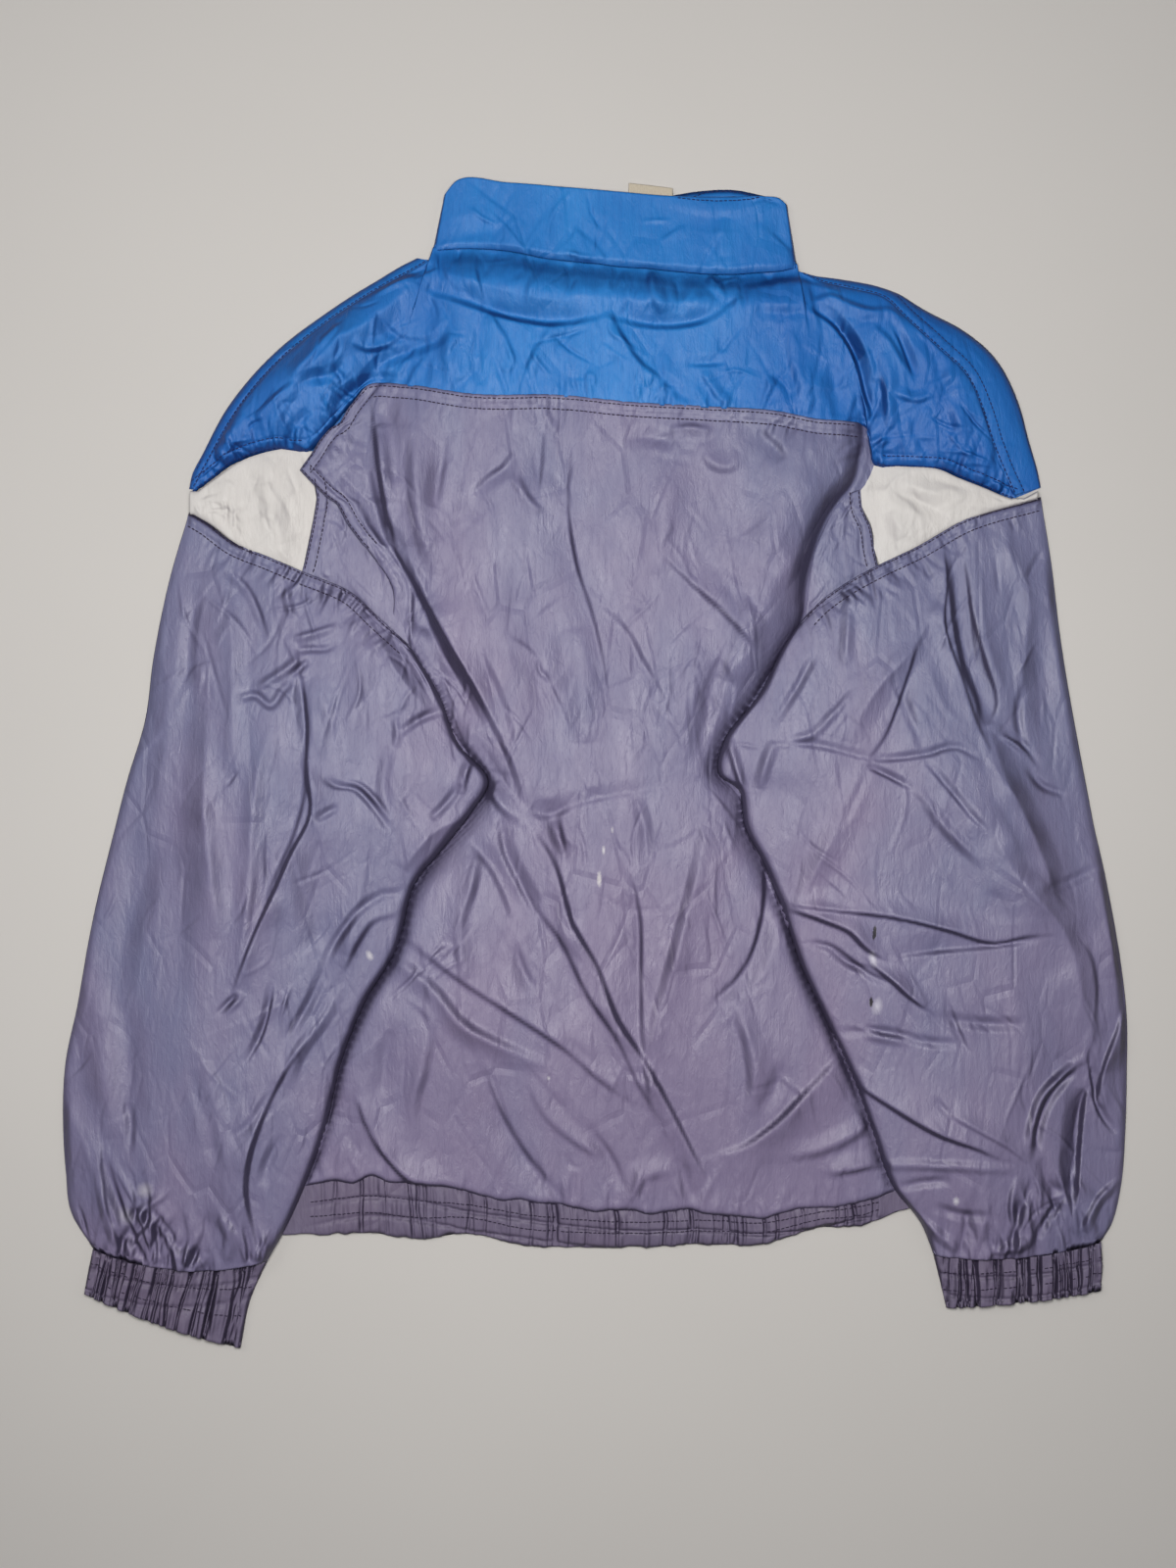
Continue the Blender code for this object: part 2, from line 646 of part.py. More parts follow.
def gathers(depth, s):
    """Alternating ridges and furrows, uneven in height, at the places s."""
    k = np.arange(len(s))
    uneven = 0.75 + 0.25 * np.sin(1.7 * k) * np.cos(0.6 * k)
    return depth * np.where(k % 2 == 0, 1.0, -1.0) * uneven * dome(s, 8)


def build_cuff(name, table):
    table = through(table, CUFF_ROWS)
    width = np.linalg.norm(table[:, 2:4] - table[:, 0:2], axis=1).mean()
    s = stations(2 * CUFF_GATHERS, width)
    plan = lines(table[:, 0:2], table[:, 2:4], s, table[:, 4])
    rise = (CUFF_PUFF * dome(s) + gathers(CUFF_GATHER_DEPTH, s))[None, :]
    rise = np.clip(np.repeat(rise, len(table), axis=0), 0, None)
    outer, inner = flattened(plan, np.zeros(plan.shape[:2]), rise)
    cloth(name, outer, inner, LAVENDER, wrap=True)


def build_hem():
    count = 2 * HEM_GATHERS
    table = through(HEM, count)
    v = np.linspace(0, 1, HEM_ROWS)[:, None]
    upper, lower = table[:, 1], table[:, 2]
    y = upper * (1 - v) + lower * v
    plan = np.stack([np.repeat(table[None, :, 0], HEM_ROWS, axis=0), y], axis=2)
    s = np.linspace(0, 1, count)
    shown = np.clip(table[:, 3], 0, 1)
    rise = shown * (HEM_PUFF + gathers(HEM_GATHER_DEPTH, s))
    rise = np.repeat(rise[None, :], HEM_ROWS, axis=0)
    outer, inner = flattened(plan, np.zeros(plan.shape[:2]), rise, thin=5)
    cloth("hem_band", outer, inner, LAVENDER, wrap=True)


def build_collar():
    """Stand collar pressed flat: the back above, the two fronts below it; returns its foot."""
    table = through(COLLAR, 26)
    v = np.linspace(0, 1, COLLAR_ROWS)[:, None, None]
    low, high = table[None, :, 0:2], table[None, :, 2:4]
    plan = low * (1 - v) + high * v
    under = plan.copy()
    under[..., 1] += table[None, :, 4] * v[..., 0] ** 3
    span = lengths(plan)
    s = span / span[:, -1:]
    rise = COLLAR_OPEN + (COLLAR_PUFF - COLLAR_OPEN) * (1 - v[..., 0]) ** 2
    rise = rise * dome(s, 8)
    outer, inner = flattened(plan, np.zeros(plan.shape[:2]), rise, under)
    cloth("collar", outer, inner, BLUE, wrap=True)
    return table[:, 0:2]


def build_label():
    low = np.array([[x, LABEL_Y[0]] for x in np.linspace(*LABEL_X, 4)])
    high = low + (0, LABEL_Y[1] - LABEL_Y[0])
    plan = lines(low, high, (0, 0.5, 1))
    panel("neck_label", plan, np.full(plan.shape[:2], FLAT), BEIGE, LABEL_WALL)


def build_zip():
    left, right = ZIP_X - ZIP_WIDTH / 2, ZIP_X + ZIP_WIDTH / 2
    y = np.linspace(ZIP_FOOT_Y, SLIDER_FOOT_Y - GAP, 12)
    rows = np.stack([np.full(len(y), left), y], axis=1)
    plan = lines(rows, rows + (right - left, 0), (0, 0.3, 0.7, 1))
    panel("zip", plan, np.full(plan.shape[:2], WALL), DARK)


def build_slider():
    """Zip slider, closed at the top of the zip: wide at its nose, narrow at its foot."""
    width, length, height = SLIDER
    mesh = bmesh.new()
    bmesh.ops.create_cube(mesh, size=1.0)
    for vert in mesh.verts:
        taper = 1.0 if vert.co.y > 0 else 0.7
        vert.co.x = ZIP_X * MM + vert.co.x * width * taper * MM
        vert.co.y = (SLIDER_FOOT_Y + (vert.co.y + 0.5) * length) * MM
        vert.co.z = (vert.co.z + 0.5) * height * MM
    data = bpy.data.meshes.new("zip_slider")
    mesh.to_mesh(data)
    mesh.free()
    data.materials.append(material("zip_slider_metal", DARK))
    bpy.context.collection.objects.link(bpy.data.objects.new("zip_slider", data))


for leftover in list(bpy.data.objects):
    bpy.data.objects.remove(leftover)

collar_foot = build_collar()
shoulder_seam, yoke_foot = build_yoke(collar_foot)
build_front_yoke("front_yoke_right", FRONT_YOKE_RIGHT, shoulder_seam, yoke_foot, WHITE_RIGHT_X[0])
build_front_yoke("front_yoke_left", FRONT_YOKE_LEFT, shoulder_seam, yoke_foot, WHITE_LEFT_X[0])
build_front("front_left", 1, ZIP_X - ZIP_WIDTH / 2 - GAP)
build_front("front_right", 2, ZIP_X + ZIP_WIDTH / 2 + GAP)
build_back(yoke_foot)

seam_left, seam_right = through(SLEEVE_SEAM_LEFT, 40), through(SLEEVE_SEAM_RIGHT, 40)
build_white("white_left", WHITE_LEFT_X, WHITE_SKEW[0], yoke_foot, seam_left)
build_white("white_right", WHITE_RIGHT_X, WHITE_SKEW[1], yoke_foot, seam_right)
build_gusset("gusset_left", GUSSET_LEFT, seam_left)
build_gusset("gusset_right", GUSSET_RIGHT, seam_right)
build_sleeve("sleeve_left", SLEEVE_LEFT, seam_left, SLEEVE_LEFT_FOLDS)
build_sleeve("sleeve_right", SLEEVE_RIGHT, seam_right, SLEEVE_RIGHT_FOLDS)
build_cuff("cuff_left", CUFF_LEFT)
build_cuff("cuff_right", CUFF_RIGHT)
build_hem()
build_label()
build_zip()
build_slider()
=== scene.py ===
"""Looks of a track jacket that lies flat, back side up: cloth, seams, sewing, zip, floor and light.

The tables are in millimetres, in plan from the middle of the laid-out jacket, as in the frame:
+X to the right of the view, +Y to the collar, +Z up from the floor. Each cloth piece is a grid of
points on the form of the solid that it replaces, with the creases of the photographed jacket.
"""
import math

import bpy
import numpy as np
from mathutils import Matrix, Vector
from mathutils.bvhtree import BVHTree


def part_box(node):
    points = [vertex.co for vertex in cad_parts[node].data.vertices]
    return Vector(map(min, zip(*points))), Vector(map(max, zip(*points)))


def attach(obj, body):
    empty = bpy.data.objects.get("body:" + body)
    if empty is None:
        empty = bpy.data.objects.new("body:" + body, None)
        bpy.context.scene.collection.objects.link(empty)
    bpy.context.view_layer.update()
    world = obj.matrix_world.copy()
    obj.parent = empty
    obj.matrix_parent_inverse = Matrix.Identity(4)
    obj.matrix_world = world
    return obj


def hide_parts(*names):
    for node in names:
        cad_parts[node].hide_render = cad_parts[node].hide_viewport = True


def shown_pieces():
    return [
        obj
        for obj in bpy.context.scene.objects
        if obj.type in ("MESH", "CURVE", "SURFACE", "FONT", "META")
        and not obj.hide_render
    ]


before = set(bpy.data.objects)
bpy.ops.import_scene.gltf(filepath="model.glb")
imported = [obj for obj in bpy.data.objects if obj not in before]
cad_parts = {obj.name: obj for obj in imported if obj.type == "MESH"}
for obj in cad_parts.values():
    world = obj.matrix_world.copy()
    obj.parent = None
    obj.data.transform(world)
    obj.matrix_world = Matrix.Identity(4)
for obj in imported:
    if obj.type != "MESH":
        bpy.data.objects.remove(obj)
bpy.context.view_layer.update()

MM = 0.001

# Cloth and layers, as in the solids
GAP = 0.3
WALL = 1.2
FLAT = 2 * WALL + GAP       # height of two layers lying on each other
BED = FLAT + GAP            # height at which a sleeve lies on the body
BED_SLOPE = (18.0, 60.0)    # past the body's side, where a sleeve starts down and reaches the floor
EDGE = 0.9                  # how thick an edge of the cloth is where it is turned in
EDGE_BULGE = 0.35           # how far the cloth bulges out where it turns in
TURN_IN = 4.0               # width of what is turned in
FOLD_FADE = 7.0             # width over which creases die out towards a seam

# Seams
STRIP = 7.4                 # width of the sewn-down seam allowance
STRIP_RISE = 0.7
PUCKER = 0.45               # height of the puckers along it
GROOVE = 0.5                # how deep the inner row of sewing pulls the cloth in
LAP = 0.8                   # how far one piece lies over the next at a seam

# Sewing
STITCH_PITCH = 3.2
STITCH_LENGTH = 2.7
STITCH_WIDTH = 0.95
STITCH_RISE = 0.35
SEW_FROM = 0.2              # metres: a height above all of the jacket
STITCH_STEP = 2.5           # no stitch where the cloth below it steps by more than this
STITCH_SECTION = ((-0.5, -0.2), (-0.3, 0.75), (0.3, 0.75), (0.5, -0.2))     # across it, and up
STITCH_SHAPE = ((0.0, 0.35), (0.3, 1.0), (0.7, 1.0), (1.0, 0.35))   # place along it, share of its size

# How high each piece's cloth stands above its layers at rest
BACK_PUFF = 12.0
GUSSET_PUFF = 1.4
WHITE_PUFF = 6.0
COLLAR_PUFF, COLLAR_OPEN = 7.5, 3.0     # at its foot and at its top
HEM_PUFF = 2.4
CUFF_PUFF = 4.6

# How it rises from an edge: the share of its height that it has there at once, the share that it
# gains over the next number's width, and the width of the edge's own roll
BACK_LEFT_EDGE = (0.35, 0.65, 50, 4)
SLEEVE_OUTER_EDGE = (0.16, 0.84, 85, 2.6)
SLEEVE_INNER_EDGE = (0.55, 0.45, 75, 1.8)
# Height of the back's flap at distances from its edge, and of the shoulder over to its folded edge
FLAP_WIDTH = 9.5
FLAP_PROFILE = (0, 3, 9, 16, 26), (4.2, 5.4, 5.4, 2.8, 0)
SHOULDER_PROFILE = (0, 0.3, 0.6, 0.85, 1), (1, 0.93, 0.7, 0.4, 0)

# How strongly the placed creases show, and how narrow their narrow sides are made
YOKE_FOLDS, YOKE_NARROW = 0.8, 0.7
SLEEVE_FOLDS, SLEEVE_NARROW = 0.85, 0.5
WIDE_SIDE = 10.0            # a side wider than this stays as it is
NARROWEST_SIDE = 1.4

# Grids and bands
BACK_ROWS, BACK_SHOWN, BACK_HIDDEN = 340, 236, 8    # columns between the sleeves and under each
HEM_ROLL = 5.0              # width over which the back panel rolls down on to the hem band
FOOT_ROWS = 110             # rows of the back panel that are stretched to reach the band
FLAP_SEWN, FLAP_GATHERED = 70, 90       # its rows whose left edge is sewn, and puckered
HEM_ROWS, CUFF_ROWS = (18.0, 31.0), (13.0, 28.0)    # sewn rows, down from the upper edge
HEM_GATHERS, CUFF_GATHERS = 62, 44                  # furrows
HEM_FURROW, CUFF_FURROW = (0.8, 3.0), (1.5, 5.0)    # how deep they are
HEM_SEWN, CUFF_SEWN = (13, 22), (9, 19)     # rows of points that the sewing lies on
HEM_SHOWN = (-199.0, 200.0)     # the hem band between the sleeves
UNDER_SEAM = 4.0            # how much further down a sleeve's lower layer starts
SEAM_ROWS = 100             # rows of a sleeve over which its seam's shape dies out
TUBE_EDGE = (0.0, 0.5, 1.6, 3.2)    # columns of points beside a tube's folded edge
TUBE_INSIDE = 5.0           # where its evenly spaced columns start
NOISE_CELLS = 256

# Zip at the front, under the jacket
ZIP_X = 9.0
ZIP_WIDTH = 10.0
ZIP_Y = (-309.0, 319.7)
TAPE_HEIGHT, TAPE_RIB = 0.9, 0.12
TOOTH = (3.4, 1.3, 0.8)
TOOTH_PITCH = 2.4
TOOTH_ASIDE = 1.15          # middle of each row of teeth, from the middle of the zip
SLIDER_WIDTH = 8.6
SLIDER_PLATES = ((0.35, 0.7), (1.9, 0.6))   # height of each one's middle, thickness
BRIDGE = (3.2, 3.4, 1.2)                    # between the plates
BRIDGE_DOWN, BRIDGE_Z = 2.2, 1.1            # its middle, down from the slider's upper end, and up
TOOTH_ROUNDING, SLIDER_ROUNDING = 0.2, 0.28

# Camera and photo
PHOTO_SCALE = 0.68          # mm to a pixel of the photo
PHOTO_SIZE = (1200, 1600)
PHOTO_ORIGIN = (607, 779)   # the pixel over the frame's origin
CAMERA_HEIGHT = 1600.0
CAMERA_FOCUS_Z = 10.0
SENSOR = 36.0

# Sides of the body below the sleeves: y, x on the left, x on the right
BODY_SIDES = (
    (208, -189, 177),
    (133, -189, 177),
    (83, -180, 180),
    (40, -205, 215),
    (-20, -235, 255),
    (-90, -250, 270),
    (-200, -252, 272),
    (-296, -229, 240),
)

# Yoke: x, y of its upper edge, x, y of its lower edge, rise at its upper edge, puff
YOKE = (
    (-280, 191.5, -280, 188.5, 0.4, 0.5),
    (-266, 217, -268, 197.5, 2, 3),
    (-248, 247, -250, 210, 3, 8),
    (-221, 279, -224, 218, 3, 12),
    (-187, 307, -197, 219, 3, 13),
    (-168, 320, -184, 233, 3, 12),
    (-145, 334, -171, 249, 2.5, 10),
    (-123, 346, -157, 263, 2, 8),
    (-107, 356, -131, 262, 1, 7),
    (-82, 358, -89, 255, 0.5, 6),
    (-29, 351, -27, 254, 0.5, 6),
    (31, 346, 25, 249, 0.5, 6),
    (84, 341, 78, 246, 0.5, 6),
    (125, 343, 130, 242, 0.5, 7),
    (141, 343, 155, 237, 1, 9),
    (152, 338, 176, 236, 1.6, 9.5),
    (160, 335, 187.5, 235, 2, 10),
    (178, 331, 191, 222, 3, 11),
    (200, 325, 195, 208.5, 4, 10),
    (216, 310, 218, 206, 6, 9),
    (238, 289, 243, 204, 8, 9),
    (257, 271, 257, 198, 8, 8),
    (269, 246, 275, 191, 7, 6),
    (277, 222, 284, 187, 5, 3),
    (293, 186, 294, 183.3, 1.5, 0.5),
)

# Front yokes: x on the shoulder seam, x, y of the shoulder's folded edge, x of the hidden inner end
FRONT_YOKE_RIGHT = (
    (144, 151, 340.3, 16),
    (170, 173, 337.5, 16),
    (196, 200, 332, 16),
    (208, 213, 327, 16),
    (218, 224, 320, 16),
    (239, 257, 302, 70),
    (258, 282, 279, 140),
    (270, 296, 250, 200),
    (278, 303, 224, 245),
    (286, 309, 203, 275),
    (292.5, 311, 192.5, 292),
)

FRONT_YOKE_LEFT = (
    (-117, -124, 352.5, 2),
    (-130, -135, 347, 2),
    (-146, -150, 338, 2),
    (-169, -173, 324, 2),
    (-188, -192, 311, 2),
    (-222, -227, 283, -80),
    (-249, -255, 250, -170),
    (-259, -265, 233, -222),
    (-265, -273, 217, -246),
    (-273, -281, 201, -266),
    (-279.5, -283, 191.5, -277),
)

# Back panel: x of its left edge, x where it shows, y there; x where it goes under on the right,
# x of its right edge, y there; height of the flap along its left edge
BACK = (
    (-156, -147, 261, 187, 192, 230, 0.3),
    (-184, -175, 226, 187, 197, 207, 0.8),
    (-197, -187, 204, 182.5, 192, 192, 1),
    (-191, -181, 192, 174.5, 184, 182, 1),
    (-178, -168, 178, 164.5, 174, 169, 1),
    (-159, -149, 150, 155, 164, 149, 0.8),
    (-140, -130, 119, 148, 157, 122, 0.5),
    (-143, -133, 90, 144, 154, 99, 0),
    (-152, -116, 58, 123, 162, 64, 0),
    (-204, -99, 22, 102, 210, 30, 0),
    (-222, -84, 0, 90, 238, 8, 0),
    (-236, -75, -14, 87, 254, -6, 0),
    (-244, -86, -33, 102, 262, -25, 0),
    (-248, -108, -61, 105, 268, -45, 0),
    (-249, -127, -86, 120, 270, -75, 0),
    (-250, -138, -127, 135, 271, -115, 0),
    (-250, -161, -167, 156, 271, -165, 0),
    (-250, -177, -207, 177, 269, -212, 0),
    (-243, -188, -253, 194, 260, -258, 0),
    (-229, -202, -290, 208, 240, -293, 0),
)

# Left edge of the back panel's armhole flap: x, y
FLAP_EDGE = ((-158, 262), (-165, 254), (-172, 245), (-177.5, 235), (-184, 232), (-191, 224),
             (-197, 214), (-205, 203), (-194.5, 192), (-186, 184), (-179, 179.5), (-171, 164.5),
             (-160, 150))

# Seams at the top of the lower sleeves: x, y
SLEEVE_SEAM_LEFT = ((-283, 175), (-271, 168), (-252, 154), (-226, 143), (-203, 133), (-167, 117),
                    (-150, 101), (-129, 82))
SLEEVE_SEAM_RIGHT = ((311, 185.5), (257, 169), (223, 150), (198, 138), (171, 123), (156, 112),
                     (145, 101))

# Underarm inserts: x, y of the left side, x, y of the right side
GUSSET_LEFT = (
    (-195.7, 198, -184, 198),
    (-193.6, 186, -174, 182),
    (-196, 170, -163, 164),
    (-200, 150, -150, 145),
    (-204.3, 134, -124, 86),
)

GUSSET_RIGHT = (
    (176, 188, 185, 190.5),
    (167, 178, 186.2, 178.5),
    (160, 165, 192, 166),
    (153, 148, 194.6, 151),
    (146.7, 103, 197.6, 139),
)

# Lower sleeves: x, y of the outer edge, x, y of the inner edge, bow of the row between them, puff
SLEEVE_LEFT = (
    (-283, 175, -129, 82, 0, 4),
    (-297, 127, -109, 49, 3, 9),
    (-308, 73, -95, 14, 2, 12),
    (-314, 29, -74, -12, 0, 13),
    (-326, -11, -85, -33, 0, 13),
    (-336, -50, -107, -61, 0, 13),
    (-346, -90, -126, -86, 0, 13),
    (-353, -123, -137, -127, 0, 13),
    (-361, -169, -160, -167, 0, 13),
    (-369, -207, -176, -207, 0, 13),
    (-371, -247, -187, -253, 0, 13),
    (-369, -285, -199, -287, -2, 12),
    (-364, -316, -216, -325, -6, 10),
    (-350, -338, -228, -346, -10, 7),
)

SLEEVE_RIGHT = (
    (311, 185.5, 145, 101, 0, 4),
    (318, 142, 131, 81, -3, 9),
    (324, 93, 114, 48, -2, 12),
    (330, 54, 90, 16, 0, 13),
    (337, 15, 86, -7, 0, 13),
    (344, -22, 101, -21, 0, 13),
    (348, -43, 104, -43, 0, 13),
    (354, -69, 117, -69, 0, 13),
    (361, -104, 131, -104, 0, 13),
    (367, -140, 143, -140, 0, 13),
    (371, -177, 160, -177, 0, 13),
    (371, -217, 178, -216, 0, 13),
    (370, -256, 193, -256, 0, 13),
    (367, -294, 207, -294, 2, 12),
    (360, -322, 228, -322, 4, 9),
    (353, -333, 236, -342, 6, 6),
)

# Cuffs: x, y of the outer edge, x, y of the inner edge, bow
CUFF_LEFT = (
    (-350, -338.6, -228.2, -346.6, -10),
    (-353, -352, -240, -373, -6),
    (-356, -369, -247, -407, -3),
)

CUFF_RIGHT = (
    (353, -333.6, 236.2, -342.6, 6),
    (354, -350, 241, -362, 3),
    (353, -367, 245, -379, 2),
)

# Hem band: x, y of its upper edge, y of its lower edge, how much of it shows
HEM = (
    (-229, -297, -328, 0),
    (-206, -293, -328, 0),
    (-190, -291, -328, 0.4),
    (-154, -288, -327, 1),
    (-124, -291, -331, 1),
    (-90, -298, -327, 1),
    (-48, -304, -336, 1),
    (-12, -309, -337, 1),
    (31, -312, -337, 1),
    (77, -311, -335, 1),
    (116, -314, -335, 1),
    (158, -309, -323, 1),
    (186, -303, -322, 1),
    (198, -300, -317, 0.4),
    (213, -297, -311, 0),
    (241, -294, -307, 0),
)

# Collar: x, y of its foot, x, y of its top, how far the front layer stands above the top
COLLAR = (
    (-113, 357.5, -105, 396, 0),
    (-100, 359.5, -97, 405, 0),
    (-63, 358, -60, 404, 0),
    (-29, 351.5, -22, 401, 0),
    (12, 348.5, 14, 398, 0),
    (45, 344.5, 48, 395, 0.5),
    (70, 342, 72, 394, 5),
    (95, 341.5, 97, 394, 6),
    (118, 343.5, 117, 394.5, 1.5),
    (130, 344.5, 128, 393.5, 0),
    (141, 346, 134, 389, 0),
)

CHEST_Y = 209.0             # seam between the yoke and the fronts
NECK_Y = 340.0              # foot of the neck opening at the zip
ARMHOLE_X = (150.0, 194.0)  # where the chest seam turns up to the shoulder inserts
WHITE_LEFT_X = (-200.0, -282.5)     # shoulder inserts, from the inner to the outer end
WHITE_RIGHT_X = (195.5, 309.0)
WHITE_RIGHT_END = (311.0, 192.5)    # where it meets the front's shoulder at the sleeve's edge
WHITE_SKEW = (-4.0, 3.0)            # how far aside their lower edge starts
# How far the inner edge of each insert bends aside, from its lower end (0) to its upper end (1)
WHITE_LEFT_BENDS = ((0, 0), (0.43, 5.8), (0.61, 7.6), (0.75, 5), (1, 4))
WHITE_RIGHT_BENDS = ((0, 0), (0.17, -3.5), (0.3, -3.2), (0.42, -5), (0.58, -10.5), (0.73, -12.5),
                     (0.8, -8), (0.9, -4), (1, -1))

# Corners of the label: x, y
LABEL = ((23, 384), (54, 384), (54, 401), (24, 404.5))

# Creases placed as in the photo: height, width to the left and to the right of them, radius of the
# crest, then x, y of points along them
COLLAR_CREASES = (
    (-2.2, 12, 14, 2, -108, 362, -90, 368, -62, 371),
    (1.8, 14, 10, 2, 50, 389, 71, 384, 91, 383, 112, 387, 123, 391),
    (-1.4, 8, 10, 1, 50, 387, 72, 381, 96, 380, 116, 385),
    (1.6, 10, 12, 2, 92, 380, 88, 366, 90, 352),
    (-1.4, 8, 10, 2, 126, 386, 128, 370, 132, 356),
)
WHITE_LEFT_CREASES = [
    (2.2, 10, 12, 2, -226, 214, -229, 190, -222, 165, -214, 146),
    (-1.8, 8, 8, 1, -246, 206, -236, 186, -234, 168),
    (1.6, 8, 8, 1, -262, 196, -252, 180, -246, 166),
]
WHITE_RIGHT_CREASES = [
    (2.2, 8, 12, 1, 222, 192, 236, 188, 248, 190, 256, 182),
    (-2.0, 8, 8, 1, 204, 190, 222, 184, 238, 176, 246, 168),
    (1.8, 8, 8, 1, 206, 176, 212, 164, 220, 156),
    (-1.4, 6, 8, 1, 234, 198, 246, 194, 258, 192),
]

# Small wrinkles drawn by seed on each kind of piece: how many, heading and its spread in degrees,
# lengths, heights
WRINKLES = {
    "collar": (46, -80, 50, (12, 55), (0.3, 1.3)),
    "yoke": (260, -90, 40, (10, 40), (0.25, 1.1)),
    "front_yoke": (30, -50, 40, (8, 30), (0.2, 0.7)),
    "back": (380, -90, 30, (12, 60), (0.25, 1.1)),
    "front": (90, -85, 30, (40, 140), (0.3, 0.6)),
    "white": (40, -75, 35, (8, 40), (0.2, 0.8)),
    "gusset": (34, -75, 40, (8, 34), (0.3, 0.9)),
    "left sleeve": (190, -100, 26, (16, 70), (0.25, 1.0)),
    "right sleeve": (190, -78, 26, (16, 70), (0.25, 1.0)),
}
# Puckers that start on a seam: how many, lengths, heights, widths
GATHERS = {
    "yoke foot": (170, (10, 34), (0.4, 1.1), (1.6, 3.4)),
    "yoke neck": (70, (14, 50), (0.3, 0.9), (2, 5)),
    "back head": (240, (9, 36), (0.5, 1.2), (1.6, 3.4)),
    "back foot": (150, (8, 40), (0.4, 1.2), (1.8, 4.5)),
    "back side": (40, (6, 20), (0.3, 0.9), (1.6, 3.4)),
    "sleeve head": (90, (8, 30), (0.5, 1.2), (1.6, 3.4)),
    "sleeve foot": (90, (12, 62), (0.8, 2.8), (2.5, 7)),
}

# Further sewing on the blue: x, y of points along each row
BLUE_SEWING = (
    (68, 395, 77, 398.5, 92, 399.3, 101, 398.5, 111, 396),
    (57, 393.6, 70, 392, 84, 391.2, 98, 391.5, 108, 392.4, 116, 394.5),
)

# Pale spots and small slits: middle, half sizes, turn, colour, and how sharp their edges are
SPOTS = (
    ((192, -135), (3.4, 8), 0.2, (0.52, 0.5, 0.6), 0.1, 0.9),
    ((195, -168), (5, 8), -0.2, (0.5, 0.48, 0.58), 0.1, 1.0),
    ((250, -303), (3, 4), 0.0, (0.52, 0.5, 0.58), 0.1, 0.8),
    ((3, -80), (2.2, 7), 0.0, (0.56, 0.53, 0.56), 0.1, 0.7),
    ((6, -60), (1.6, 4), 0.0, (0.52, 0.5, 0.55), 0.1, 0.8),
    ((12, -46), (1.4, 3), 0.0, (0.5, 0.48, 0.54), 0.1, 0.9),
    ((-32, -218), (1.6, 2), 0.0, (0.52, 0.5, 0.56), 0.1, 0.8),
    ((-312, -296), (8, 7), 0.6, (0.4, 0.38, 0.47), 0.05, 0.9),
    ((-326, -314), (7, 9), 0.4, (0.37, 0.35, 0.43), 0.05, 1.0),
    ((-156, -133), (3, 5), 0.5, (0.5, 0.48, 0.54), 0.1, 0.8),
    ((193, -117), (2.2, 8), -0.1, (0.015, 0.012, 0.02), 0.3, 0.5),
    ((191, -165), (2, 5.5), -0.05, (0.015, 0.012, 0.02), 0.3, 0.5),
)

# Lights: name, place and size in metres, power, colour
LIGHTS = (
    ("overhead", (-0.07, 0.12, 1.32), (0.6, 0.5), 16.5, (1.0, 0.985, 0.965)),
    ("left", (-1.6, 0.9, 1.6), (0.8, 0.8), 6.0, (1.0, 0.99, 0.95)),
    ("right", (1.9, 0.2, 1.4), (0.8, 0.8), 2.5, (0.97, 0.98, 1.0)),
)

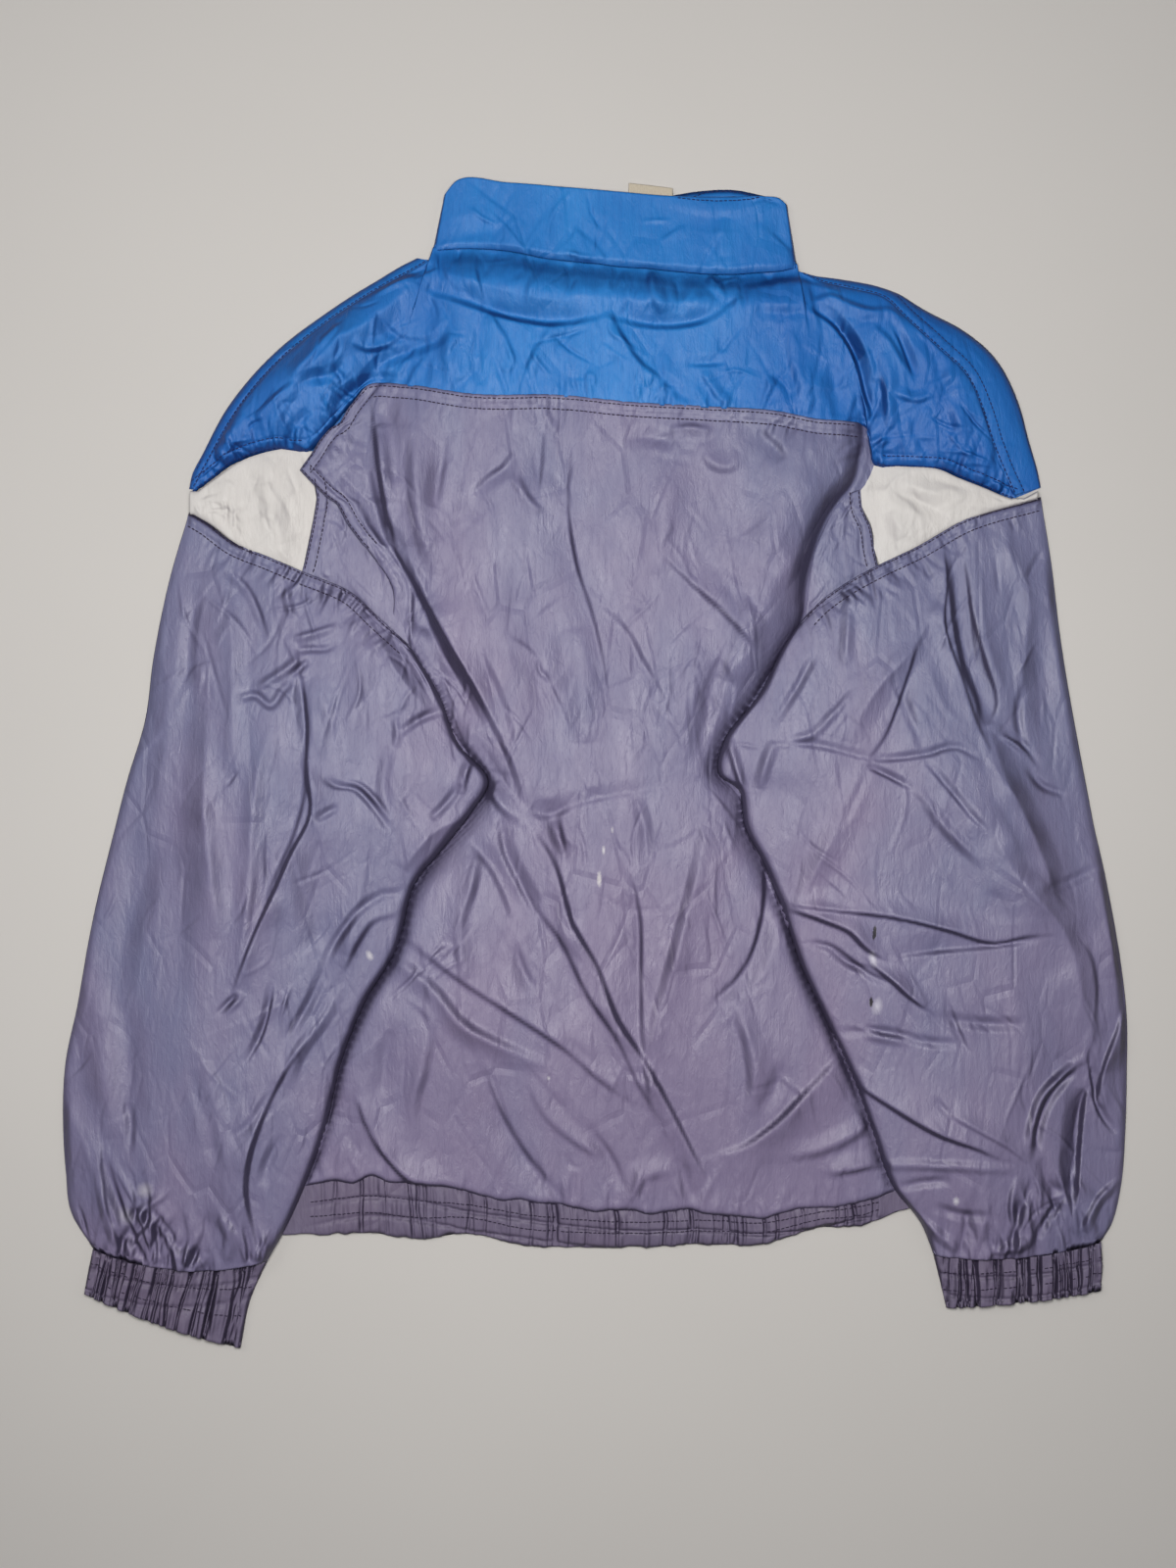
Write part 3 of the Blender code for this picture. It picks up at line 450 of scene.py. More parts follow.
# Placed creases of the back, yoke and sleeves, in the columns of COLLAR_CREASES
BACK_CREASES = (
    (-6, 3, 26, 1, -158, 256, -155, 227, -151, 197, -146, 169, -139, 148),
    (-8.5, 8, 17, 1, -143, 157, -134, 133, -122, 107, -107, 78, -90, 48, -77, 24),
    (4.5, 40, 4, 0.8, -157, 231, -152, 197, -145, 167, -133, 139, -119, 116, -103, 88, -82, 54, -69,
     29, -56, 1, -46, -32),
    (-3, 12, 6, 2, -146, 251, -141, 224, -138, 197, -133, 169),
    (-2.6, 2.4, 20, 0.8, -37, 233, -38, 210, -41, 182),
    (-3.2, 2.4, 24, 0.8, -18, 220, -20, 180, -14, 136, -3, 102, 5, 66, 9, 35),
    (-2.4, 3, 16, 0.8, -1, 110, 18, 95, 33, 69, 48, 42),
    (3, 20, 2.4, 0.8, 46, 146, 67, 126, 90, 105, 116, 76),
    (-1.3, 8, 3.6, 0.8, -48, -32, -32, -34, -12, -27, 20, -20, 52, -15),
    (-3, 10, 4, 1, -45, -31, -37, -35, -28, -34, -18, -29),
    (5.5, 3, 34, 0.8, -49, -37, -29, -71, -17, -112, -1, -140, 15, -180, 31, -204, 51, -240, 65, -268,
     79, -296),
    (-3, 2.4, 18, 0.8, -57, -78, -44, -99, -29, -118, -5, -164, 15, -194, 27, -220, 46, -252),
    (3.4, 30, 2.8, 0.8, -133, -118, -91, -150, -57, -172, -21, -196, 7, -220, 27, -234),
    (4, 4.8, 12, 1, -141, -133, -111, -158, -93, -180, -61, -198, -33, -210),
    (-3.4, 3, 18, 0.8, 21, -69, 29, -104, 30, -152, 31, -194, 35, -231),
    (-2, 6, 6, 0.7, 24, -16, 33, -38, 36, -72),
    (4.5, 24, 6, 1.5, 79, -37, 69, -86, 56, -137, 43, -184, 39, -208),
    (-5, 12, 2.4, 0.8, 120, -71, 118, -99, 114, -120, 104, -143, 95, -154, 81, -166),
    (5, 26, 2.4, 1, 173, -201, 146, -230, 122, -254, 99, -269, 86, -272),
    (-3.2, 3.6, 14, 0.8, -81, -206, -65, -246, -51, -270, -21, -305),
    (6, 26, 2.4, 1.2, -164, -231, -156, -253, -141, -276, -120, -294, -99, -299),
    (7, 34, 44, 9, 149, 231, 139, 190, 129, 156, 118, 122, 107, 88, 92, 54),
    (-7, 7, 17, 1, 194, 233, 192, 210, 188, 192, 176, 179, 165, 160, 154, 131, 146, 104),
    (-3, 6, 18, 3, 92, 84, 82, 54, 74, 23, 66, -7),
    (4, 18, 22, 5, 74, 95, 67, 54, 63, 13, 71, -14),
    (3.5, 16, 24, 5, 56, 210, 47, 163, 44, 129),
    (-3, 22, 14, 5, -59, 149, -46, 95, -35, 40, -28, -1),
    (3.5, 20, 14, 4, -5, 13, -7, 54, -13, 95),
    (-3, 12, 4.8, 1, -59, 6, -65, 40, -74, 61, -84, 84),
    (4, 10, 3.6, 1, -93, 13, -78, -7, -65, -29, -51, -40),
    (-3.5, 8, 3, 0.8, -65, -39, -62, -61, -52, -82, -40, -103),
    (-3, 10, 3.6, 0.8, -88, -52, -73, -69, -62, -90, -56, -107),
    (3.5, 4.8, 14, 1, -82, -63, -86, -86, -93, -106, -101, -124),
    (-2.5, 3, 7, 0.7, -28, -32, -25, -48, -22, -63),
    (-2.5, 6, 6, 0.7, -35, -32, -28, -46, -22, -59, -20, -75),
    (3, 12, 4.8, 1.2, -90, -103, -93, -126, -89, -150),
    (-2.2, 3.6, 9, 0.8, -56, -123, -50, -143, -42, -157),
    (3.5, 14, 5.4, 2, 96, -160, 107, -191, 111, -218, 108, -245),
    (-2, 7, 7, 0.8, 131, -208, 124, -228, 115, -242),
    (3, 5.4, 12, 1.5, -115, -177, -120, -211, -127, -239, -124, -262),
    (-2.6, 8, 8, 0.9, -142, -184, -146, -211, -152, -239),
    (2.4, 9, 3.6, 1, -46, -218, -32, -245, -12, -262, 7, -273),
    (-2.6, 3.6, 8, 0.8, -5, -252, 12, -276, 20, -296),
    (-2.2, 6, 6, 0.8, 56, -273, 63, -290, 69, -305),
    (2.6, 10, 4.8, 1.2, 131, -273, 158, -267, 186, -252, 198, -239),
    (3, 12, 3, 1, 161, -284, 179, -281, 199, -277),
    (2.4, 12, 4.8, 1.5, 22, -307, 36, -286, 56, -281),
    (-2.5, 8, 8, 0.8, 22, 224, 37, 226, 56, 222),
    (2.2, 3, 7, 0.8, 52, 231, 66, 232, 80, 230),
    (-2.6, 3.6, 10, 1, 111, 231, 123, 220, 131, 210),
    (2.5, 12, 4.8, 1.2, 74, 222, 80, 209, 92, 205, 104, 216),
    (-2.2, 3, 8, 0.8, -84, 186, -73, 197, -62, 205, -55, 216),
    (2.4, 3.6, 9, 0.8, -54, 197, -47, 183, -37, 173),
    (-2.2, 3.6, 8, 0.8, -103, 231, -107, 203, -111, 176),
    (2.5, 12, 6, 2, -120, 241, -124, 203, -120, 163, -109, 129),
)
YOKE_CREASES = (
    (-6, 12, 5.4, 2, -118, 331, -91, 322, -55, 311, -31, 307, 5, 312),
    (4.5, 4.8, 26, 1, 7, 313, 20, 290, 31, 275, 46, 264),
    (-4, 12, 5.4, 1.5, 7, 313, 33, 306, 58, 305, 81, 311, 97, 324, 101, 328),
    (-8, 9, 4.2, 1, 149, 317, 167, 305, 177, 292, 184, 275, 188, 259, 192, 241, 183, 230),
    (3.5, 4.8, 10, 0.8, 149, 318, 163, 323, 177, 317, 192, 313, 206, 313, 214, 308),
    (3.4, 4.8, 12, 0.8, 192, 303, 203, 292, 211, 278, 217, 269),
    (-3.4, 7, 3, 0.8, 205, 309, 214, 289, 222, 267),
    (3, 8, 3.6, 0.8, 207, 257, 222, 252, 235, 256),
    (-5, 3.6, 8, 1, 196, 267, 199, 254, 199, 240),
    (4, 9, 9, 1, 199, 285, 204, 268, 203, 251, 207, 231),
    (6, 14, 18, 2, -119, 339, -132, 327, -148, 312, -164, 301, -177, 294, -188, 283, -199, 275, -209,
     258, -220, 239, -226, 227),
    (-3.6, 8, 8, 1, -101, 303, -109, 294, -120, 290, -136, 284, -148, 278, -157, 269, -164, 263),
    (-3.6, 8, 8, 0.9, -132, 265, -146, 267, -157, 265, -164, 262, -173, 256, -179, 248, -180, 239,
     -185, 239),
    (3, 4.8, 10, 1, -178, 305, -190, 290, -201, 277, -211, 267),
    (-2.5, 3.6, 8, 0.8, -152, 313, -143, 301, -133, 294, -122, 294),
    (3, 10, 3.6, 0.8, -168, 292, -160, 288, -146, 290, -134, 299),
    (-3, 8, 8, 0.8, -209, 259, -197, 266, -184, 269, -173, 277),
    (2.6, 4.2, 9, 0.8, -235, 237, -221, 252, -206, 263),
    (-2.4, 3.6, 7, 0.8, -197, 244, -209, 231, -214, 216),
    (3, 14, 6, 2, -243, 244, -252, 228, -262, 210),
    (4, 3.6, 14, 1.5, -74, 311, -63, 292, -58, 277, -61, 269),
    (-2.6, 3.6, 9, 1, -69, 305, -63, 290, -59, 273),
    (3, 10, 10, 2, -99, 301, -100, 278, -96, 263),
    (-2.4, 8, 8, 1.2, -80, 295, -82, 277, -78, 261),
    (2.6, 4.8, 12, 1, -50, 263, -43, 278, -35, 292, -28, 303),
    (-2, 7, 7, 1, 44, 269, 56, 259, 66, 248),
    (2.5, 8, 3.6, 0.8, 74, 271, 84, 256, 93, 245),
    (-1.8, 8, 3.6, 1, 63, 277, 78, 277, 90, 278),
    (2.6, 10, 4.8, 1.5, 39, 343, 41, 326, 47, 311),
    (-2, 7, 7, 1, 56, 337, 59, 323, 58, 311),
    (3, 12, 6, 2, 78, 338, 89, 326, 93, 319),
    (2.6, 6, 12, 1.5, 104, 326, 131, 333, 158, 331, 173, 324),
    (-2.4, 8, 8, 1, 111, 313, 131, 311, 149, 313),
    (3, 14, 6, 3, 135, 305, 139, 278, 146, 254, 143, 237),
    (-2.6, 10, 10, 2, 160, 277, 167, 258, 165, 241),
    (2.6, 8, 8, 1, 232, 256, 241, 266, 254, 269),
    (-2.6, 8, 8, 1, 222, 299, 235, 282, 241, 263, 250, 244),
    (3, 12, 6, 2, 244, 258, 252, 237, 262, 216),
    (-2.4, 9, 4.8, 1, 220, 244, 224, 226, 232, 213),
    (2.4, 8, 8, 1, 203, 326, 220, 313, 232, 297),
    (-2, 5, 5, 0.8, -141, 338, -124, 342, -111, 347),
    (2, 6, 6, 0.8, -154, 326, -139, 333, -124, 337),
)
LEFT_CREASES = (
    (5, 12, 42, 1, -264, 141, -253, 99, -251, 54, -251, 19, -248, -5),
    (6, 12, 36, 1, -268, 37, -270, -11, -269, -43, -263, -90, -260, -123),
    (-2, 3.6, 8, 0.8, -247, -5, -252, -12, -255, -16),
    (4.5, 12, 12, 0.8, -224, 29, -233, -11, -237, -50, -239, -90, -244, -131, -248, -157),
    (8, 34, 5.4, 0.8, -201, 61, -197, 27, -197, -3, -195, -37, -207, -61, -220, -90, -233, -118, -248,
     -158),
    (-4, 4.8, 14, 2, -205, 13, -203, -21, -209, -45, -222, -75, -232, -99),
    (-4, 8, 4.2, 0.8, -187, -10, -180, -15, -165, -18, -154, -29, -141, -48),
    (3, 4.8, 10, 0.8, -176, -14, -164, -15, -153, -24, -142, -39),
    (-2.8, 7, 7, 0.8, -177, -30, -186, -35, -192, -39),
    (-2.4, 6, 6, 0.6, -207, 78, -197, 79, -184, 80, -179, 84),
    (2.6, 4.8, 9, 0.8, -209, 86, -194, 90, -179, 95),
    (-2.4, 6, 6, 0.7, -197, 71, -205, 65, -211, 59),
    (3, 8, 8, 0.8, -233, 52, -219, 61, -203, 73),
    (-2.8, 7, 7, 0.8, -247, 44, -235, 47, -224, 40, -216, 50, -207, 59),
    (5, 16, 34, 0.8, -152, 91, -137, 63, -120, 41, -115, 35),
    (3.4, 8, 8, 0.8, -139, 95, -129, 75, -114, 54, -105, 39),
    (-3, 6, 6, 0.8, -135, 84, -124, 66, -114, 50),
    (-2.6, 7, 7, 0.8, -135, 20, -124, 29, -105, 37),
    (-2, 6, 6, 0.7, -138, 32, -137, 18, -139, 10),
    (5, 12, 20, 0.8, -89, -38, -109, -46, -124, -61, -133, -74),
    (3.6, 4.8, 10, 0.8, -85, 5, -90, -9, -93, -22),
    (-3, 7, 7, 0.8, -93, -14, -103, -28, -114, -39),
    (-3, 8, 8, 0.8, -133, -90, -146, -91, -156, -96, -173, -114, -184, -133, -188, -147),
    (3, 5.4, 12, 1, -138, -103, -154, -108, -165, -123, -175, -143),
    (3, 12, 12, 2, -161, -69, -164, -103, -173, -133),
    (-3.4, 6, 6, 0.7, -245, -160, -251, -164, -260, -173),
    (2.4, 7, 7, 0.7, -243, -157, -247, -164, -255, -172),
    (-3.6, 4.2, 8, 0.8, -223, -150, -226, -171, -232, -190, -243, -209),
    (-2.8, 14, 14, 4, -194, -39, -192, -82, -190, -116, -186, -155),
    (6.5, 5.4, 28, 1, -201, -190, -218, -217, -233, -249, -241, -276, -243, -295, -239, -322, -232,
     -347),
    (-3, 8, 8, 1, -220, -219, -231, -239, -240, -251, -251, -258),
    (3.5, 10, 10, 1, -176, -157, -188, -177, -205, -201, -214, -225),
    (-3, 8, 8, 1, -188, -143, -197, -164, -211, -190),
    (-4.6, 4.8, 8, 2, -341, -273, -335, -293, -327, -316, -313, -349),
    (2.6, 8, 3.6, 0.8, -334, -279, -321, -301, -312, -324, -304, -352),
    (2.6, 3.6, 9, 0.8, -344, -266, -342, -296, -337, -320, -330, -342),
    (-2.4, 5, 6, 0.8, -306, -309, -297, -322, -288, -338),
    (5, 20, 26, 1.2, -369, -233, -354, -267, -345, -293, -339, -328),
    (4, 16, 14, 5, -347, -150, -343, -191, -339, -232, -335, -262),
    (-3, 12, 12, 3, -326, -164, -324, -205, -323, -232, -318, -259),
    (-2.4, 7, 7, 1, -324, -235, -322, -256, -324, -273),
    (-3, 16, 14, 5, -284, -28, -285, -82, -286, -123, -288, -177),
    (-3.4, 12, 16, 4, -308, -48, -316, -86, -326, -116, -337, -177),
    (3, 14, 14, 4, -290, 95, -296, 40, -301, -14, -311, -69),
    (-2.4, 10, 10, 2, -277, 122, -282, 88, -284, 54),
    (-2.6, 4.8, 9, 1, -254, 133, -241, 120, -233, 103, -228, 86),
    (2.4, 7, 7, 0.8, -214, 127, -213, 114, -209, 100),
    (-3, 10, 10, 2, -202, 61, -201, 33, -199, 6),
    (3, 14, 14, 4, -269, -205, -267, -239, -263, -266),
    (-3, 10, 10, 3, -277, -211, -266, -252, -262, -279),
    (3, 10, 10, 1.5, -288, -338, -279, -347, -277, -357),
    (-3, 5, 5, 1, -277, -335, -279, -347, -282, -358),
    (-2.4, 3, 5, 0.8, -241, -356, -240, -338, -243, -320),
    (2, 4, 3, 0.8, -231, -357, -233, -341, -228, -326),
    (-2.6, 3, 5, 0.8, -220, -358, -222, -341, -217, -320),
    (-2.2, 3, 5, 0.8, -199, -349, -201, -331, -196, -313),
    (-2, 3, 4, 0.8, -354, -335, -356, -320, -360, -307),
    (2.8, 10, 10, 1.5, -259, -313, -252, -328, -255, -345),
    (-2.4, 9, 9, 1.2, -216, -256, -225, -273, -231, -293),
    (2.6, 12, 12, 3, -163, 122, -160, 81, -164, 40, -171, -1),
    (-2.2, 9, 9, 1.5, -142, 13, -146, -14, -142, -39),
)
RIGHT_CREASES = (
    (4.5, 12, 24, 0.8, 239, 112, 217, 77, 191, 46, 181, 27, 177, 13),
    (-3.6, 14, 3.6, 0.8, 224, 81, 211, 41, 201, 17, 190, 2),
    (-8, 12, 6, 5, 249, 145, 251, 122, 254, 95, 260, 66, 270, 39, 271, 25),
    (3.5, 2.4, 12, 0.8, 241, 149, 243, 129, 241, 97, 253, 59, 267, 19, 274, 6),
    (3, 14, 2.4, 0.8, 258, 143, 262, 109, 271, 73, 279, 37, 273, 25),
    (5, 12, 12, 0.8, 273, 25, 283, -11, 299, -41, 313, -76, 323, -104),
    (4.5, 18, 12, 1, 284, 168, 289, 146, 299, 125, 301, 101, 298, 69, 294, 44),
    (-2.4, 8, 8, 0.8, 312, 148, 305, 135, 299, 124),
    (11, 62, 34, 1, 226, 3, 251, -27, 271, -44, 286, -71, 303, -92, 320, -110, 333, -140, 336, -158,
     345, -190, 348, -218),
    (-2.4, 9, 4.8, 0.8, 124, 16, 156, 12, 190, 3),
    (-3, 8, 4.2, 0.7, 192, 3, 201, 3, 228, 6, 250, 11, 265, 3),
    (-3, 8, 3.6, 0.7, 188, -2, 203, -9, 220, -18),
    (3.6, 14, 12, 0.8, 187, -3, 175, -31, 159, -61, 145, -88, 135, -99),
    (5, 18, 3.6, 0.8, 135, -97, 167, -101, 203, -105, 243, -114, 275, -123, 303, -118, 309, -118),
    (-3, 12, 4.8, 1.2, 203, -133, 233, -129, 267, -126, 305, -122),
    (6, 14, 4.8, 0.8, 135, -100, 159, -108, 177, -116, 188, -127, 203, -135),
    (5.5, 12, 3.6, 0.8, 191, -138, 206, -150, 217, -160, 229, -169),
    (-3, 3.6, 8, 0.7, 149, -124, 163, -127, 175, -135, 188, -145, 203, -152),
    (-2.6, 3.6, 8, 0.8, 164, -130, 177, -139, 190, -142),
    (6, 7, 7, 1.2, 338, -205, 322, -217, 309, -231, 303, -247, 300, -267),
    (-4, 7, 7, 1, 333, -213, 318, -229, 309, -247, 305, -271),
    (6.5, 34, 4.8, 1, 177, -218, 201, -234, 239, -256, 267, -266, 282, -273),
    (3, 12, 4.8, 0.8, 240, -239, 267, -254, 288, -266, 301, -277),
    (-9, 3.6, 12, 1.2, 340, -225, 337, -247, 335, -273, 333, -307),
    (5, 14, 3, 1, 369, -167, 364, -186, 356, -205, 349, -240),
    (-4, 9, 4.2, 1, 343, -198, 346, -218, 353, -245, 364, -259),
    (3.6, 10, 4.8, 0.8, 367, -289, 352, -301, 339, -326),
    (-4, 7, 7, 0.9, 323, -304, 313, -318, 307, -330),
    (-2.2, 8, 8, 0.8, 211, -294, 230, -290, 245, -289),
    (3, 9, 9, 1, 217, -311, 241, -329, 253, -339),
    (3.6, 10, 10, 1.5, 272, -343, 295, -334, 306, -326),
    (-2.4, 8, 8, 0.8, 169, -186, 203, -186, 226, -192, 253, -194),
    (2.4, 4.8, 10, 0.8, 180, -182, 203, -190, 220, -191),
    (-2.6, 10, 10, 1, 237, -175, 272, -180, 299, -180),
    (-2, 6, 6, 0.7, 235, -232, 241, -239, 247, -244),
    (-2, 4.2, 8, 0.8, 243, -165, 252, -188, 258, -201),
    (3.2, 20, 14, 4, 318, 149, 320, 95, 330, 40, 334, -7),
    (-3, 16, 12, 4, 308, 108, 312, 54, 318, 13),
    (-2.4, 7, 7, 0.8, 300, -2, 309, -14, 328, -22),
    (3, 9, 4.2, 0.8, 275, 24, 290, 14, 301, 5),
    (-2.6, 7, 3.6, 0.8, 275, 22, 288, 18, 300, 10, 308, -1),
    (-2.4, 7, 7, 0.8, 297, 54, 294, 33, 299, 7),
    (3, 10, 10, 1, 176, 122, 175, 99, 173, 67),
    (-2.2, 7, 7, 0.8, 152, 75, 139, 51, 124, 27),
    (2.6, 8, 8, 0.8, 180, 59, 172, 46, 163, 33, 150, 20, 124, 13),
    (-2.2, 7, 7, 0.7, 179, 56, 171, 46, 163, 35),
    (3, 10, 4.8, 1, 116, 61, 105, 39, 96, 23),
    (4, 9, 4.8, 0.8, 92, 18, 99, -7, 104, -22),
    (3, 10, 10, 0.8, 124, 16, 118, -1, 114, -18),
    (-2, 8, 8, 0.8, 188, -5, 177, -29, 167, -48),
    (2.6, 9, 9, 1, 220, -14, 245, -48, 267, -69),
    (-3.4, 8, 4.2, 0.8, 228, 2, 247, -21, 262, -39, 270, -46),
    (-2.4, 8, 8, 1, 210, 54, 220, 27, 228, 6),
    (3, 16, 16, 4, 352, -55, 358, -103, 362, -150),
    (-2.4, 9, 9, 1, 309, -89, 330, -82, 352, -71),
    (-2.6, 12, 5.4, 1.5, 343, -123, 350, -150, 349, -184),
    (2.4, 8, 8, 1, 177, -281, 213, -278, 254, -279, 294, -281),
    (-2.4, 9, 9, 1, 308, -273, 316, -293, 331, -299),
    (3, 10, 4.8, 1, 293, -284, 288, -307, 294, -328),
    (-2.6, 8, 8, 1, 235, -307, 254, -313, 274, -313),
)


def through(table, count):
    """Read count evenly spaced rows along the smooth curve through a table's rows."""
    table = np.array(table, dtype=float)
    steps = np.linalg.norm(np.diff(table, axis=0), axis=1)
    knots = np.concatenate([[0.0], np.cumsum(steps)])
    slopes = np.gradient(table, knots, axis=0)
    at = np.linspace(0.0, knots[-1], count)
    low = np.clip(np.searchsorted(knots, at, side="right") - 1, 0, len(knots) - 2)
    span = (knots[low + 1] - knots[low])[:, None]
    t = (at - knots[low])[:, None] / span
    from_low = (2 * t**3 - 3 * t**2 + 1) * table[low] + (t**3 - 2 * t**2 + t) * span * slopes[low]
    from_high = (3 * t**2 - 2 * t**3) * table[low + 1] + (t**3 - t**2) * span * slopes[low + 1]
    return from_low + from_high


def lines(start, end, places, bow=0.0):
    """Plan points from each start to its end; a bow bends the line to its left."""
    s = np.asarray(places)[None, :, None]
    points = start[:, None, :] * (1 - s) + end[:, None, :] * s
    chord = end - start
    normal = np.stack([-chord[:, 1], chord[:, 0]], axis=1)
    normal /= np.linalg.norm(normal, axis=1)[:, None]
    return points + 4 * s * (1 - s) * np.reshape(bow, (-1, 1, 1)) * normal[:, None, :]


def smoothstep(low, high, value):
    """0 up to the low value, 1 from the high value on, and smooth between them."""
    t = np.clip((value - low) / (high - low), 0.0, 1.0)
    return t * t * (3 - 2 * t)


def dome(s, power):
    """1 across the middle and 0 at both ends."""
    return np.sqrt(np.clip(1 - np.abs(2 * np.asarray(s) - 1) ** power, 0.0, 1.0))


def along(curve, x):
    """Height in plan of a curve at x, for a curve that runs across the jacket."""
    order = np.argsort(curve[:, 0])
    return np.interp(x, curve[order, 0], curve[order, 1])


def offset(curve, distance):
    """The curve moved to its left in plan."""
    run = np.gradient(curve, axis=0)
    normal = np.stack([-run[:, 1], run[:, 0]], axis=1)
    return curve + distance * normal / np.linalg.norm(normal, axis=1)[:, None]


def bed(plan):
    """Height at which a sleeve lies: on the body, and past its side on the floor."""
    table = np.array(BODY_SIDES, dtype=float)[::-1]
    left = np.interp(plan[..., 1], table[:, 0], table[:, 1])
    right = np.interp(plan[..., 1], table[:, 0], table[:, 2])
    outside = np.maximum(left - plan[..., 0], plan[..., 0] - right)
    return BED * (1 - smoothstep(*BED_SLOPE, outside))


def lengths(plan):
    """Distance along each row of plan points from its first point."""
    steps = np.linalg.norm(np.diff(plan, axis=1), axis=2)
    return np.concatenate([np.zeros((len(plan), 1)), np.cumsum(steps, axis=1)], axis=1)


def grid_lengths(plan):
    """Distance across each row, and down each column, of a grid of plan points."""
    return lengths(plan), lengths(np.swapaxes(plan, 0, 1)).T


def edge_fade(plan, sides=(1, 1, 1, 1)):
    """0 along the chosen sides (first row, last row, first column, last column), 1 away from them."""
    across, down = grid_lengths(plan)
    total = np.ones(plan.shape[:2])
    for chosen, distance in zip(sides, (down, down[-1:] - down, across, across[:, -1:] - across)):
        if chosen:
            total = total * smoothstep(0.0, FOLD_FADE, distance)
    return total


def cells(x, y, seed):
    """Where points lie in the cells of a random grid, from 0 to 1, and the values at each cell's
    corners: first, next in x, next in y, next in both."""
    values = np.random.default_rng(seed).uniform(-1, 1, (NOISE_CELLS, NOISE_CELLS))
    i, j = np.floor(x).astype(int), np.floor(y).astype(int)
    i0, j0, i1, j1 = (n % NOISE_CELLS for n in (i, j, i + 1, j + 1))
    return x - i, y - j, values[i0, j0], values[i1, j0], values[i0, j1], values[i1, j1]


def noise(x, y, seed):
    """Smooth noise between -1 and 1 with bumps about one unit across."""
    u, v, first, in_x, in_y, in_both = cells(x, y, seed)
    u, v = u * u * (3 - 2 * u), v * v * (3 - 2 * v)
    low = first * (1 - u) + in_x * u
    high = in_y * (1 - u) + in_both * u
    return low * (1 - v) + high * v


def facets(x, y, seed):
    """Random heights between -1 and 1 joined by flat triangles, with sharp creases between them."""
    u, v, first, in_x, in_y, in_both = cells(x, y, seed)
    far = u + v > 1
    corner = np.where(far, in_both, first)
    return (np.where(far, 1 - v, u) * in_x + np.where(far, 1 - u, v) * in_y
            + np.where(far, u + v - 1, 1 - u - v) * corner)


def crumple(across, down, seed, height):
    """Crumpling of thin nylon: flat facets of two sizes, drawn out along the cloth, the smaller ones
    and the finest crinkles stronger in patches."""
    x = across + 10 * noise(across / 45, down / 50, seed + 3)
    x = x + 3 * noise(across / 14, down / 17, seed + 6)
    y = down + 15 * noise(across / 50, down / 45, seed + 5)
    large = facets((x + 0.35 * y) / 27, (y - 0.2 * x) / 50, seed)
    small = facets((x - 0.3 * y) / 11, y / 25, seed + 1)
    fine = noise(x / 3.2, y / 9, seed + 2)
    patch = 0.3 + 0.7 * smoothstep(-0.35, 0.5, noise(across / 55, down / 70, seed + 4))
    return height * (0.8 * large + patch * (0.55 * small + 0.2 * fine))


def liveliness(x, y, seed):
    """How strong the small wrinkles are: full in patches, and 0.4 between them."""
    return 0.4 + 0.6 * smoothstep(-0.3, 0.4, noise(x, y, seed))


def crease_height(plan, creases, narrow=1.0):
    """Height that creases add at plan points. Left and right are meant going along the crease. Its
    narrow sides are made narrower still."""
    x, y = plan[..., 0].ravel(), plan[..., 1].ravel()
    total = np.zeros(x.size)
    for crease in creases:
        height, left_width, right_width, radius = crease[:4]
        corners = np.reshape(crease[4:], (-1, 2))
        path = through(corners, 4 * len(corners))
        reach = max(left_width, right_width) + radius
        (x0, y0), (x1, y1) = path.min(axis=0) - reach, path.max(axis=0) + reach
        near = np.flatnonzero((x > x0) & (x < x1) & (y > y0) & (y < y1))
        px, py = x[near], y[near]
        nearest = np.full(px.shape, np.inf)
        place = np.zeros(px.shape)
        left = np.zeros(px.shape, dtype=bool)
        for k, (a, b) in enumerate(zip(path[:-1], path[1:])):
            edge = b - a
            t = np.clip(((px - a[0]) * edge[0] + (py - a[1]) * edge[1]) / edge.dot(edge), 0, 1)
            off_x, off_y = px - a[0] - t * edge[0], py - a[1] - t * edge[1]
            distance = np.hypot(off_x, off_y)
            closer = distance < nearest
            nearest = np.where(closer, distance, nearest)
            place = np.where(closer, (k + t) / (len(path) - 1), place)
            left = np.where(closer, edge[0] * off_y > edge[1] * off_x, left)
        width = np.where(left, left_width, right_width)
        width = np.where(width > WIDE_SIDE, width, np.maximum(width * narrow, NARROWEST_SIDE))
        flank = np.clip((np.hypot(nearest, radius) - radius) / width, 0, 1)
        taper = np.sin(np.pi * np.clip(place, 0.01, 0.99)) ** 0.6
        uneven = 1 + 0.3 * noise(px / 17, py / 17, 5)
        hollow = 1.15 + 0.55 * smoothstep(6, 16, width) * (height > 0)
        total[near] += height * (1 - flank) ** hollow * taper * uneven
    return total.reshape(plan.shape[:-1])


def wrinkles(plan, seed, kind):
    """Small creases in random places on a piece, most of them along its cloth."""
    count, heading, spread, length, height = WRINKLES[kind]
    rng = np.random.default_rng(seed)
    points = plan.reshape(-1, 2)
    rows = []
    for start in points[rng.integers(len(points), size=count)]:
        angle = math.radians(heading + rng.normal(0, spread))
        run = rng.uniform(*length) * np.array((math.cos(angle), math.sin(angle)))
        bend = rng.normal(0, 0.08) * np.array((-run[1], run[0]))
        rise = rng.uniform(*height) * rng.choice((-1, 1))
        left, right = rng.permutation((rng.uniform(1.2, 2.4), rng.choice((1.8, rng.uniform(5, 13)))))
        rows.append((rise, left, right, 0.3, *start, *(start + run / 2 + bend), *(start + run)))
    return rows


